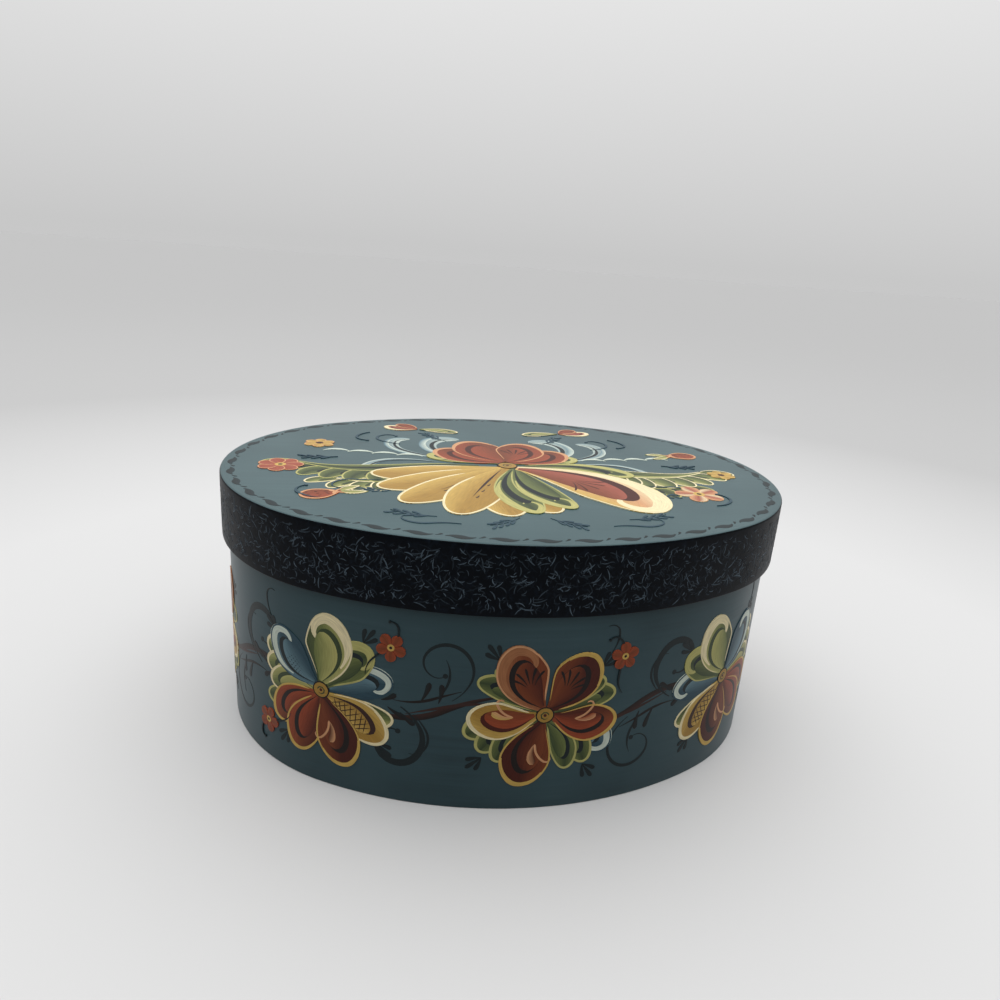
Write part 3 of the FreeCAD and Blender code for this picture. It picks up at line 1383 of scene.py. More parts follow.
def blossom(brush: Brush, petals: Sequence[Petal]) -> None:
    """Paints a large round blossom.

    Args:
        brush: the brush at its heart.
        petals: its petals, the undermost first.
    """
    for heading, away in ((48, 35), (134, 36), (226, 36), (312, 36)):
        turn = math.radians(heading)
        sprig(brush.at(away * math.cos(turn), away * math.sin(turn), heading - 90), long=9.5)
    tendril(brush.at(26, 33, 60), (11, 40), (8, 110), width=0.9, knob=False)
    for petal in petals:
        petal.paint(brush)
    button(brush)


def small_flower(brush: Brush, petal: Stops, heart: str, count: int = 5, reach: float = 7.0) -> None:
    """Paints a small open flower.

    Args:
        brush: the brush at its heart.
        petal: colours across each petal.
        heart: the colour of the heart.
        count: how many petals it has.
        reach: its radius.
    """
    for index in range(count):
        heading = 90 + 360 * index / count
        turn = math.radians(heading)
        root = (math.cos(turn) * 0.8, math.sin(turn) * 0.8)
        sides = brush.ribbon(trail(root, heading, (reach - 0.8, 12)), reach * 0.74, Load.LOBE, petal)
        if reach > 8:
            brush.edge(sides, 0.6, Tint.PEACH)
    brush.disc(0, 0, reach * 0.24, heart)
    brush.disc(0, 0, reach * 0.1, Tint.INK)


def tendril(
    brush: Brush, *legs: Point, width: float = 1.6, tint: str = Tint.PINE, knob: bool = True
) -> None:
    """Paints a thin scroll.

    Args:
        brush: the brush at its root; it heads right.
        legs: (length, turn) of its stretches.
        width: its width where it is widest.
        tint: its colour.
        knob: whether it ends in a small knob.
    """
    path = trail((0, 0), 0, *legs)
    brush.ribbon(path, width, Load.SCROLL, (tint,))
    if knob:
        brush.disc(float(path[-1][0]), float(path[-1][1]), min(width * 0.7, 1.3), tint)


def branch(brush: Brush) -> None:
    """Paints the dark branch between two blossoms: a long S with scrolls and comma leaves.

    Args:
        brush: the brush in its middle.
    """
    stem = trail((-38, -10), 4, (34, 26), (26, -34), (22, -10))
    brush.ribbon(stem, 3.1, Load.SCROLL, (Tint.BARK, Tint.INK))
    brush.ribbon(trail((-32, -5), -6, (24, 22), (20, 4)), 1.6, Load.SCROLL, (Tint.BARK,))
    brush.ribbon(trail((-14, -11), 20, (14, 4), (18, -30)), 1.4, Load.SCROLL, (Tint.INK,))
    crown = brush.at(13, 0, 150)
    tendril(crown, (14, -34), (18, -70), (19, -104), (14, -92), (6, -60), width=3.6)
    tendril(brush.at(7, 3, 138), (10, -20), (12, -66), (7, -70), width=1.2, knob=False)
    root = brush.at(-10, -6, 214)
    tendril(root, (13, 34), (18, 78), (18, 96), (13, 98), (5, 60), width=1.7)
    tendril(brush.at(-3, -6, 226), (11, 30), (11, 44), width=1.2, knob=False)
    leaves = ((19, 1, 140, 10), (13, 3, 128, 9), (4, -4, 236, 11), (-4, -4, 250, 10), (22, -2, 196, 8))
    for x, y, heading, long in leaves:
        brush.ribbon(trail((x, y), heading, (long, 26)), 3.3, Load.COMMA, (Tint.INK, Tint.PINE))


@dataclass
class WallFrieze:
    """The frieze round the side band: blossoms, with branches and small flowers between them.

    Attributes:
        sizes: the box's sizes.
        repeats: how many blossoms go round.
        start: place of the first one.
        middle: height of the blossoms' hearts.
        size: size of the blossoms.
        sink: how far the strokes reach into the wall, more than its curve leaves under a flat face.
    """

    sizes: BoxSizes
    repeats: int = 8
    start: float = 6.0
    middle: float = 51.0
    size: float = 0.98
    sink: float = 0.45

    def motif(self, index: int) -> Canvas:
        """Paints one repeat flat, its blossom at the origin and its branch to the right.

        Args:
            index: its number, counted from 0 in the middle of the front.

        Returns:
            Its canvas.
        """
        canvas = Canvas(sink=self.sink)
        halfway = self.sizes.body.perimeter / self.repeats / 2
        between = Brush(canvas, halfway, self.middle, 180.0 * (index % 2 == 1))
        branch(between)
        heart = Brush(canvas, 0, self.middle, (-6, 8, 0)[index % 3], self.size, index % 4 >= 2)
        blossom(heart, BLOSSOMS[index % len(BLOSSOMS)])
        flower = between.at(*((-16, 27) if index % 4 < 2 else (18, -29)), 20 * index)
        tendril(flower.at(0, 0, 250), (12, 20), (8, 40), width=0.9, knob=False)
        tendril(flower.at(0, 3, 100), (8, 40), (5, 90), width=0.9)
        small_flower(flower, (Tint.EMBER, Tint.RUST, Tint.EMBER), Tint.GOLD)
        return canvas

    def build(self) -> list[bpy.types.Object]:
        """Wraps each repeat on the wall.

        Returns:
            The pieces.
        """
        lap, perimeter = self.sizes.side_lap, self.sizes.body.perimeter
        path = path_curve("wall_path", lap.oval, lambda along: lap.eased_rise(along) + self.sizes.coat)
        finish = BrushPaint().material()
        tree = wrap_tree(finish)
        pieces = []
        for index in range(self.repeats):
            flat = self.motif(index).mesh(f"frieze_flat_{index + 1}", finish)
            along = self.start + perimeter * index / self.repeats
            inputs = {"Path": path, "Along": along * MM, "Perimeter": perimeter * MM}
            piece = grown_mesh(flat, tree, inputs, f"frieze_{index + 1}")
            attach(piece, "box")
            pieces.append(piece)
        bpy.data.objects.remove(path)
        return pieces


def path_curve(
    name: str, oval: Oval, off: Callable[[float], float], points: int = 1600
) -> bpy.types.Object:
    """Makes a closed path for a geometry tree, from the middle of the front, anticlockwise.

    Args:
        name: the path's name.
        oval: the oval that it follows.
        off: how far outside the oval it runs, by place along it.
        points: how many points it has.

    Returns:
        The path's object.
    """
    curve = bpy.data.curves.new(name, "CURVE")
    curve.dimensions = "3D"
    line = curve.splines.new("POLY")
    line.points.add(points - 1)
    for index in range(points):
        along = oval.perimeter * index / points
        (x, y), (out_x, out_y) = oval.at(along)
        line.points[index].co = ((x + out_x * off(along)) * MM, (y + out_y * off(along)) * MM, 0, 1)
    line.use_cyclic_u = True
    made = bpy.data.objects.new(name, curve)
    bpy.context.scene.collection.objects.link(made)
    return made


def new_tree(name: str, inputs: dict[str, str]) -> tuple[bpy.types.NodeTree, Any]:
    """Starts a geometry tree.

    Args:
        name: the tree's name.
        inputs: its extra inputs, by name, and their socket types.

    Returns:
        The tree and its input node.
    """
    tree = bpy.data.node_groups.new(name, "GeometryNodeTree")
    tree.interface.new_socket("Geometry", in_out="INPUT", socket_type="NodeSocketGeometry")
    for label, kind in inputs.items():
        tree.interface.new_socket(label, in_out="INPUT", socket_type=kind)
    tree.interface.new_socket("Geometry", in_out="OUTPUT", socket_type="NodeSocketGeometry")
    return tree, add_node(tree, "NodeGroupInput")


def end_tree(tree: bpy.types.NodeTree, geometry: Any, finish: bpy.types.Material) -> None:
    """Ends a geometry tree in Realize Instances and Set Material.

    Args:
        tree: the tree.
        geometry: the socket with what the tree made.
        finish: the piece's finish.
    """
    real = add_node(tree, "GeometryNodeRealizeInstances", {"Geometry": geometry}).outputs["Geometry"]
    dressed = add_node(tree, "GeometryNodeSetMaterial", {"Geometry": real, "Material": finish})
    add_node(tree, "NodeGroupOutput", {0: dressed.outputs["Geometry"]})


def wrap_tree(finish: bpy.types.Material) -> bpy.types.NodeTree:
    """Makes the tree that bends flat strokes onto the wall: X goes along the path, Y up, Z outwards.

    Args:
        finish: the strokes' finish.

    Returns:
        The tree.
    """
    kinds = {"Path": "NodeSocketObject", "Along": "NodeSocketFloat", "Perimeter": "NodeSocketFloat"}
    tree, given = new_tree("wrap_on_wall", kinds)
    place = add_node(tree, "GeometryNodeInputPosition").outputs[0]
    flat = add_node(tree, "ShaderNodeSeparateXYZ", {0: place})
    pair = {0: flat.outputs["X"], 1: given.outputs["Along"]}
    walked = add_node(tree, "ShaderNodeMath", pair, operation="ADD").outputs[0]
    pair = {0: walked, 1: given.outputs["Perimeter"]}
    lapped = add_node(tree, "ShaderNodeMath", pair, operation="FLOORED_MODULO").outputs[0]
    whose = {"Object": given.outputs["Path"]}
    path = add_node(tree, "GeometryNodeObjectInfo", whose, transform_space="RELATIVE").outputs["Geometry"]
    where = {"Curves": path, "Length": lapped}
    sample = add_node(tree, "GeometryNodeSampleCurve", where, mode="LENGTH", use_all_curves=True)
    pair = {0: sample.outputs["Tangent"], 1: (0.0, 0.0, 1.0)}
    outward = add_node(tree, "ShaderNodeVectorMath", pair, operation="CROSS_PRODUCT").outputs[0]
    pair = {0: outward, "Scale": flat.outputs["Z"]}
    raised = add_node(tree, "ShaderNodeVectorMath", pair, operation="SCALE").outputs[0]
    standing = add_node(tree, "ShaderNodeCombineXYZ", {"Z": flat.outputs["Y"]}).outputs[0]
    pair = {0: sample.outputs["Position"], 1: standing}
    base = add_node(tree, "ShaderNodeVectorMath", pair, operation="ADD").outputs[0]
    final = add_node(tree, "ShaderNodeVectorMath", {0: base, 1: raised}, operation="ADD").outputs[0]
    bent = {"Geometry": given.outputs["Geometry"], "Position": final}
    moved = add_node(tree, "GeometryNodeSetPosition", bent).outputs["Geometry"]
    end_tree(tree, moved, finish)
    return tree


def grown_mesh(
    source: bpy.types.Object, tree: bpy.types.NodeTree, inputs: dict[str, Any], name: str
) -> bpy.types.Object:
    """Runs a geometry tree on an object and keeps the result as a plain mesh.

    Args:
        source: the object that the tree starts from; it is removed.
        tree: the tree.
        inputs: the tree's inputs by name.
        name: the new piece's name.

    Returns:
        The new piece.
    """
    modifier = source.modifiers.new(tree.name, "NODES")
    modifier.node_group = tree
    for item in tree.interface.items_tree:
        if item.item_type == "SOCKET" and item.in_out == "INPUT" and item.name in inputs:
            modifier[item.identifier] = inputs[item.name]
    ready = source.evaluated_get(bpy.context.evaluated_depsgraph_get())
    data = bpy.data.meshes.new_from_object(ready)
    data.name = name
    source.modifiers.remove(modifier)
    bpy.data.objects.remove(source)
    return mesh_object(name, data)


@dataclass
class LidBorder:
    """The border round the lid's top: dark S strokes with a small comma between, just inside the edge.

    Attributes:
        sizes: the box's sizes.
        inset: how far inside the lid's outline it runs.
        repeats: how many S strokes go round.
    """

    sizes: BoxSizes
    inset: float = 6.2
    repeats: int = 45

    def stroke(self) -> bpy.types.Object:
        """Paints one S and its comma flat at the origin, lying along X.

        Returns:
            Its object.
        """
        canvas = Canvas()
        brush = Brush(canvas)
        wave = trail((-6.2, -0.9), 34, (4.2, -50), (4.8, 6), (4.2, 50))
        brush.ribbon(wave, 4.0, Load.SCROLL, (Tint.PINE, Tint.SHADE))
        brush.ribbon(trail((7.6, -0.9), 26, (3.6, 30)), 1.7, Load.COMMA, (Tint.PINE,))
        return canvas.mesh("border_stroke", BrushPaint().material())

    def tree(self, finish: bpy.types.Material) -> bpy.types.NodeTree:
        """Makes the tree that sets strokes along a path.

        Args:
            finish: the strokes' finish.

        Returns:
            The tree.
        """
        kinds = {"Stroke": "NodeSocketObject", "Repeats": "NodeSocketInt", "Height": "NodeSocketFloat"}
        tree, given = new_tree("border_round_lid", kinds)
        along = {"Curve": given.outputs["Geometry"], "Count": given.outputs["Repeats"]}
        points = add_node(tree, "GeometryNodeCurveToPoints", along, mode="COUNT")
        shape = {"Object": given.outputs["Stroke"], "As Instance": True}
        stroke = add_node(tree, "GeometryNodeObjectInfo", shape).outputs["Geometry"]
        way = {"Vector": points.outputs["Tangent"]}
        heading = add_node(tree, "FunctionNodeAlignRotationToVector", way, axis="X", pivot_axis="Z")
        spots = {"Points": points.outputs["Points"], "Instance": stroke, "Rotation": heading.outputs[0]}
        placed = add_node(tree, "GeometryNodeInstanceOnPoints", spots).outputs["Instances"]
        lift = add_node(tree, "ShaderNodeCombineXYZ", {"Z": given.outputs["Height"]}).outputs[0]
        move = {"Instances": placed, "Translation": lift, "Local Space": False}
        raised = add_node(tree, "GeometryNodeTranslateInstances", move).outputs["Instances"]
        end_tree(tree, raised, finish)
        return tree

    def build(self) -> bpy.types.Object:
        """Sets the strokes round the lid.

        Returns:
            The piece.
        """
        stroke = self.stroke()
        path = path_curve("border_path", self.sizes.lid.grown(-self.inset), lambda along: 0.0)
        inputs = {"Stroke": stroke, "Repeats": self.repeats, "Height": self.sizes.lid_top * MM}
        piece = grown_mesh(path, self.tree(BrushPaint().material()), inputs, "lid_border")
        bpy.data.objects.remove(stroke)
        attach(piece, "lid")
        return piece


@dataclass
class BandFlecks:
    """The pale curved flecks dragged over the dark lid band.

    Attributes:
        sizes: the box's sizes.
        per_square_mm: how many there are.
        seed: the seed of their places.
        clear: how far the middles of the outermost ones keep from the band's lower and upper edges.
        stations: how many faces the surface under them has.
        kinds: length, bend in degrees and width of each kind.
        spread: size of the smallest and of the largest against those.
        edge: height of a fleck's edges over the band.
        crown: height of its middle over the band.
        places: how many sections a fleck has.
    """

    sizes: BoxSizes
    per_square_mm: float = 0.28
    seed: int = 7
    clear: Point = (2.9, 3.7)
    stations: int = 240
    kinds: tuple[Point3, ...] = (
        (3.8, 60, 0.8),
        (2.7, -80, 0.7),
        (5.0, 35, 0.8),
        (1.8, 20, 0.85),
        (3.0, 105, 0.6),
    )
    spread: Point = (0.6, 1.25)
    edge: float = -0.03
    crown: float = 0.06
    places: int = 5

    def wall(self) -> bpy.types.Object:
        """Makes the bare surface that the flecks are scattered on.

        Returns:
            Its object.
        """
        lap = self.sizes.lid_lap
        places = lap.stations(self.stations)
        heights = (self.sizes.lid_hem + self.clear[0], self.sizes.lid_top - self.clear[1])
        verts: list[Point3] = []
        for along in places:
            (x, y), (out_x, out_y) = lap.oval.at(along)
            off = lap.rise(along) + self.sizes.coat
            for height in heights:
                verts.append((x + out_x * off, y + out_y * off, height))
        faces = []
        for index in range(len(places)):
            after = (index + 1) % len(places)
            faces.append((2 * index, 2 * after, 2 * after + 1, 2 * index + 1))
        return mesh_object("fleck_wall", new_mesh("fleck_wall", verts, faces))

    def fleck(self, name: str, length: float, bend: float, width: float) -> bpy.types.Object:
        """Makes one curved fleck, a low ridge with a flat underside.

        Args:
            name: its name.
            length: its length.
            bend: how far it bends, in degrees.
            width: its width.

        Returns:
            Its object, which isn't in the scene.
        """
        path = trail((-length / 2, 0), -bend / 2, (length, bend))
        walk = np.linspace(0, len(path) - 1, self.places)
        line = sampled(path, np.arange(len(path)), walk)
        line -= line.mean(axis=0)
        left = leftward(line)
        half = width / 2 * np.sin(np.pi * np.linspace(0.06, 0.94, self.places)) ** 0.7
        verts: list[Point3] = []
        for i in range(self.places):
            for side, height in ((-1, self.edge), (0, self.crown), (1, self.edge)):
                place = line[i] + left[i] * half[i] * side
                verts.append((*place, height))
        faces: list[tuple[int, ...]] = [(1, 0, 2)]
        for i in range(self.places - 1):
            a, b = 3 * i, 3 * i + 3
            faces += [(a, b, b + 1, a + 1), (a + 1, b + 1, b + 2, a + 2), (a + 2, b + 2, b, a)]
        end = 3 * (self.places - 1)
        faces.append((end, end + 1, end + 2))
        return bpy.data.objects.new(name, new_mesh(name, verts, faces))

    def tree(self) -> bpy.types.NodeTree:
        """Makes the tree that scatters flecks over a surface, each turned, sized and toned at random.

        Returns:
            The tree.
        """
        kinds = {"Kinds": "NodeSocketCollection", "Density": "NodeSocketFloat", "Seed": "NodeSocketInt"}
        tree, given = new_tree("flecks_on_band", kinds)
        over = {"Mesh": given.outputs["Geometry"], "Density": given.outputs["Density"]}
        over["Seed"] = given.outputs["Seed"]
        points = add_node(tree, "GeometryNodeDistributePointsOnFaces", over)
        draws = []
        for low, high, seed in ((0.0, 1.0, 3), (0.0, 2 * math.pi, 5), (*self.spread, 9)):
            limits = {2: low, 3: high, "Seed": seed}
            draws.append(add_node(tree, "FunctionNodeRandomValue", limits, data_type="FLOAT").outputs[1])
        tone, spin, size = draws
        kept = {"Geometry": points.outputs["Points"], "Name": "tone", "Value": tone}
        toned = add_node(tree, "GeometryNodeStoreNamedAttribute", kept, data_type="FLOAT", domain="POINT")
        about = {"Axis": (0.0, 0.0, 1.0), "Angle": spin}
        turn = add_node(tree, "FunctionNodeAxisAngleToRotation", about).outputs[0]
        pair = {0: points.outputs["Rotation"], 1: turn}
        turned = add_node(tree, "FunctionNodeRotateRotation", pair, rotation_space="LOCAL").outputs[0]
        choice = {"Collection": given.outputs["Kinds"], "Separate Children": True, "Reset Children": True}
        shapes = add_node(tree, "GeometryNodeCollectionInfo", choice).outputs[0]
        spots = {"Points": toned.outputs["Geometry"], "Instance": shapes, "Pick Instance": True}
        spots |= {"Rotation": turned, "Scale": size}
        placed = add_node(tree, "GeometryNodeInstanceOnPoints", spots).outputs["Instances"]
        end_tree(tree, placed, FleckPaint().material())
        return tree

    def build(self) -> bpy.types.Object:
        """Scatters the flecks over the band.

        Returns:
            The piece.
        """
        flecks = bpy.data.collections.new("fleck_kinds")
        for index, kind in enumerate(self.kinds):
            flecks.objects.link(self.fleck(f"fleck_{index}", *kind))
        inputs = {"Kinds": flecks, "Density": self.per_square_mm / MM**2, "Seed": self.seed}
        piece = grown_mesh(self.wall(), self.tree(), inputs, "band_flecks")
        for fleck in list(flecks.objects):
            bpy.data.objects.remove(fleck)
        bpy.data.collections.remove(flecks)
        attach(piece, "lid")
        return piece


def acanthus(
    brush: Brush, blend: Blend, *legs: Point, width: float = 20.0, lobes: int = 8, side: int = -1
) -> None:
    """Paints an acanthus leaf: a long bent rib with overlapping lobes down one side, heading right.

    Args:
        brush: the brush at its root.
        blend: its colours.
        legs: (length, turn) of the rib's stretches.
        width: the leaf's width at its root.
        lobes: how many lobes it has.
        side: the lobes' side, 1 for left and -1 for right.
    """
    rib = trail((0, 0), 0, *legs)
    for index in range(lobes):
        share = 0.94 - 0.84 * index / max(1, lobes - 1)
        spot = int(share * (len(rib) - 2))
        ahead = bearing(rib[spot], rib[spot + 1])
        long = width * (1.2 - 0.62 * share)
        lobe = trail(tuple(rib[spot]), ahead + side * 12, (long * 0.6, side * 14), (long * 0.5, side * 58))
        sides = brush.ribbon(lobe, width * (0.5 - 0.2 * share), Load.LOBE, blend.body)
        core = trail(tuple(rib[spot]), ahead + side * 14, (long * 0.7, side * 34))
        brush.ribbon(core, width * 0.1, Load.COMMA, (blend.dark,))
        brush.edge(sides, 0.9, blend.rim)
    sides = brush.ribbon(rib, width * 0.34, Load.SCROLL, blend.body)
    brush.ribbon(rib[: int(len(rib) * 0.82)], width * 0.09, Load.SCROLL, (blend.dark,))
    brush.edge(sides, 0.8, blend.rim, (0.08, 0.92))


def scallops(brush: Brush, tint: str, count: int = 4, long: float = 17.0) -> None:
    """Paints a row of thin pale arcs that rise and fall, heading right.

    Args:
        brush: the brush at its start.
        tint: its colour.
        count: how many arcs it has.
        long: length of an arc.
    """
    for index in range(count):
        arc = trail((index * long * 0.8, index * 1.2), 56, (long, -112))
        brush.ribbon(arc, 2.8, Load.SCROLL, (tint,))


def c_scroll(brush: Brush, *legs: Point, width: float = 12.0) -> None:
    """Paints a blue C in three blended strokes, darkest on its hollow side, heading right.

    Args:
        brush: the brush at its root.
        legs: (length, turn) of its stretches.
        width: its width where it is widest.
    """
    path = trail((0, 0), 0, *legs)
    sides = brush.ribbon(path, width, Load.COMMA, (Tint.SLATE, Tint.STEEL), (Tint.STEEL, Tint.FROST))
    hollow = (sum(turn for _, turn in legs) > 0) != brush.mirror
    outer, inner = sides if hollow else sides[::-1]
    plain = Brush(brush.canvas)
    plain.ribbon(inner * 0.72 + outer * 0.28, width * 0.2, Load.SCROLL, (Tint.PINE,))
    plain.ribbon(outer * 0.8 + inner * 0.2, width * 0.3, Load.SCROLL, (Tint.FROST, Tint.STEEL))


def berry(brush: Brush, blend: Blend, reach: float = 20.0) -> None:
    """Paints a seeded berry on two leaves, its tip to the right.

    Args:
        brush: the brush at its root.
        blend: its colours.
        reach: its length.
    """
    for swing in (140, 220):
        leaf = trail((0, 0), swing, (14, -swing + 180))
        sides = brush.ribbon(leaf, 5.0, Load.LEAF, (Tint.FERN, Tint.LIME))
        brush.edge(sides, 0.7, Tint.CREAM, (0.1, 0.9))
    sides = brush.ribbon(trail((-1, 0), 0, (reach, 0)), reach * 0.72, Load.LOBE, blend.inner)
    for row in range(3):
        for column in range(3):
            seed = (5 + column * reach * 0.22, (row - 1) * reach * (0.1 + 0.04 * column))
            brush.ribbon(trail(seed, 0, (1.8, 0)), 0.9, Load.LEAF, (blend.dark,), rows=5)
    brush.edge(sides, 1.2, blend.rim)
    for side in (-1, 1):
        brush.ribbon(trail((-3, 3.5 * side), -20 * side, (10, -50 * side)), 2.4, Load.COMMA, (blend.rim,))


def spray(brush: Brush, count: int = 8, long: float = 26.0, tint: str = Tint.SLATE) -> None:
    """Paints a fine stem with small commas on both sides, heading right.

    Args:
        brush: the brush at its root.
        count: how many commas it has.
        long: its length.
        tint: its colour.
    """
    stem = trail((0, 0), 0, (long, 30))
    brush.ribbon(stem, 1.1, Load.SCROLL, (tint,))
    for index in range(count):
        spot = int((0.2 + 0.75 * index / count) * (len(stem) - 2))
        side = 1 if index % 2 else -1
        brush.ribbon(trail(tuple(stem[spot]), side * 42 + 14, (6.5, -side * 26)), 2.0, Load.COMMA, (tint,))


def fan_petal(brush: Brush, blend: Blend, reach: float, spread: Sequence[float]) -> None:
    """Paints a large petal of overlapping fingers with rows of small marks, heading right.

    Args:
        brush: the brush at its root.
        blend: its colours.
        reach: its length.
        spread: the fingers' directions, the undermost first.
    """
    for swing in spread:
        long = reach * (1 - abs(swing) * 0.004)
        finger = trail((0, 0), swing, (long * 0.6, swing * 0.3), (long * 0.4, swing * 0.7))
        sides = brush.ribbon(finger, reach * 0.32, Load.LOBE, blend.body)
        brush.edge(sides, 1.2, blend.rim, (0.14, 0.86))
        core = trail((4, 0), swing, (long * 0.62, swing * 0.6))
        brush.ribbon(core, 1.4, Load.SCROLL, (blend.dark,))
        for share in (0.55, 0.75, 0.95):
            spot = core[int(share * (len(core) - 1))]
            mark = trail((spot[0], spot[1] + 2.4), swing + 20, (4.5, -40))
            brush.ribbon(mark, 1.3, Load.COMMA, (blend.dark,))


@dataclass
class LidBouquet:
    """The bouquet on the lid's top: flowers, acanthus leaves, C-scrolls, berries and tendrils.

    Attributes:
        sizes: the box's sizes.
        step: how far each stroke stands above the one before.
    """

    sizes: BoxSizes
    step: float = 0.0025

    def heart(self, lift: float) -> Canvas:
        """Paints the flowers in the middle, over the rest of the bouquet.

        Args:
            lift: height of the first stroke's face.

        Returns:
            The canvas.
        """
        canvas = Canvas(lift, self.step)
        middle = Brush(canvas)
        fan_petal(middle.at(-2, -5, 236), HONEY, 86, (-33, 34, -20, 21, -7, 8))
        low = middle.at(3, -4, 0)
        for petal in (
            *lobed(Petal(350, 68, -44, 22, OLIVE, Tint.LIME), 2, -16),
            *lobed(Petal(270, 76, 36, 22, OLIVE, Tint.LIME), 2, 16),
            Petal(308, 96, -70, 44, CREAMED, Tint.CREAM, Fill.FAN),
        ):
            petal.paint(low, 2.0)
        rose = middle.at(0, 2, 0, 1.16)
        for petal in (
            Petal(16, 40, -44, 18, OLIVE, Tint.LIME),
            Petal(164, 40, 44, 18, OLIVE, Tint.LIME),
            Petal(140, 40, -30, 24, POPPY),
            Petal(40, 40, 30, 24, POPPY),
            Petal(104, 44, -50, 27, POPPY),
            Petal(76, 42, 54, 25, POPPY, "", Fill.FAN),
        ):
            petal.paint(rose)
        button(middle.at(0, -1), 5.8)
        return canvas

    def leaves(self, right: bool) -> Canvas:
        """Paints the leaves and C-scrolls on one side of the middle.

        Args:
            right: whether it is the right side.

        Returns:
            The canvas.
        """
        canvas = Canvas(step=self.step)
        side = Brush(canvas, 0, 0, 0, 1.0, not right)
        c_scroll(side.at(16, 8, 26, 1.15), (24, 26), (24, 70), (16, 96), width=14)
        c_scroll(side.at(28, 12, 4, 1.15), (28, 40), (20, 60), (12, 90), width=10)
        low, high = (OLIVE, SAGE) if right else (SAGE, OLIVE)
        acanthus(side.at(20, -8, -14), low, (28, -22), (28, 20), (22, 40), width=30, lobes=7)
        c_scroll(side.at(40, 4, 24), (24, -40), (20, -60), (12, -110), width=8)
        acanthus(side.at(16, -2, 6), high, (34, -26), (36, 22), (30, 34), width=36, lobes=8)
        scallops(side.at(46, 14, 4), Tint.FROST)
        spray(side.at(58, -46, -16))
        spray(side.at(30, 50, 44), 7, 24)
        spray(side.at(7, -84, -50), 7, 18)
        spray(side.at(44, -84, 6), 7, 22)
        tendril(side.at(34, -93, 18), (14, -30), (12, 60), (8, 110), width=1.4, tint=Tint.SLATE)
        tendril(side.at(66, -30, -30), (16, 40), (16, -100), (9, -110), width=1.5, tint=Tint.SLATE)
        tendril(side.at(58, 40, 10), (16, 50), (14, 90), (8, 90), width=1.5, tint=Tint.SLATE)
        return canvas

    def ends(self, right: bool, lift: float) -> Canvas:
        """Paints the small flowers and berries towards one end, over the leaves.

        Args:
            right: whether it is the right end.
            lift: height of the first stroke's face.

        Returns:
            The canvas.
        """
        canvas = Canvas(lift, self.step)
        side = Brush(canvas, 0, 0, 0, 1.0, not right)
        if right:
            small_flower(side.at(94, -44, 10), (Tint.PEACH, Tint.ROSE, Tint.CREAM), Tint.GOLD, 5, 13)
            berry(side.at(104, 30, 10), POPPY)
            small_flower(side.at(122, -8), (Tint.GOLD, Tint.OCHRE), Tint.BRICK, 6, 8)
        else:
            berry(side.at(88, -52, -24), POPPY)
            small_flower(side.at(120, -10, 30), (Tint.ROSE, Tint.EMBER), Tint.GOLD, 7, 12)
            small_flower(side.at(104, 36), (Tint.GOLD, Tint.OCHRE), Tint.BRICK, 6, 9)
        bud = side.at(46, 78, 12)
        for petal in (
            Petal(182, 26, 30, 10, SAGE),
            Petal(4, 22, 40, 12, BLUSH, Tint.CREAM),
            Petal(26, 18, -40, 10, POPPY),
        ):
            petal.paint(bud, 1.0)
        spray(side.at(92, 8, -16), 6, 20)
        tendril(side.at(96, -62, 10), (14, 50), (12, 90), width=1.4, tint=Tint.SLATE)
        tendril(side.at(76, 66, -30), (14, -50), (12, -90), width=1.4, tint=Tint.SLATE)
        return canvas

    def build(self) -> list[bpy.types.Object]:
        """Lays the parts of the bouquet on the lid.

        Returns:
            The pieces.
        """
        finish = BrushPaint().material()
        right, left = self.leaves(True), self.leaves(False)
        parts = {
            "lid_leaves_right": right,
            "lid_leaves_left": left,
            "lid_end_right": self.ends(True, right.lift),
            "lid_end_left": self.ends(False, left.lift),
            "lid_flowers": self.heart(max(right.lift, left.lift)),
        }
        pieces = []
        for name, canvas in parts.items():
            piece = canvas.mesh(name, finish)
            piece.data.transform(Matrix.Translation((0, 0, self.sizes.lid_top * MM)))
            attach(piece, "lid")
            pieces.append(piece)
        return pieces


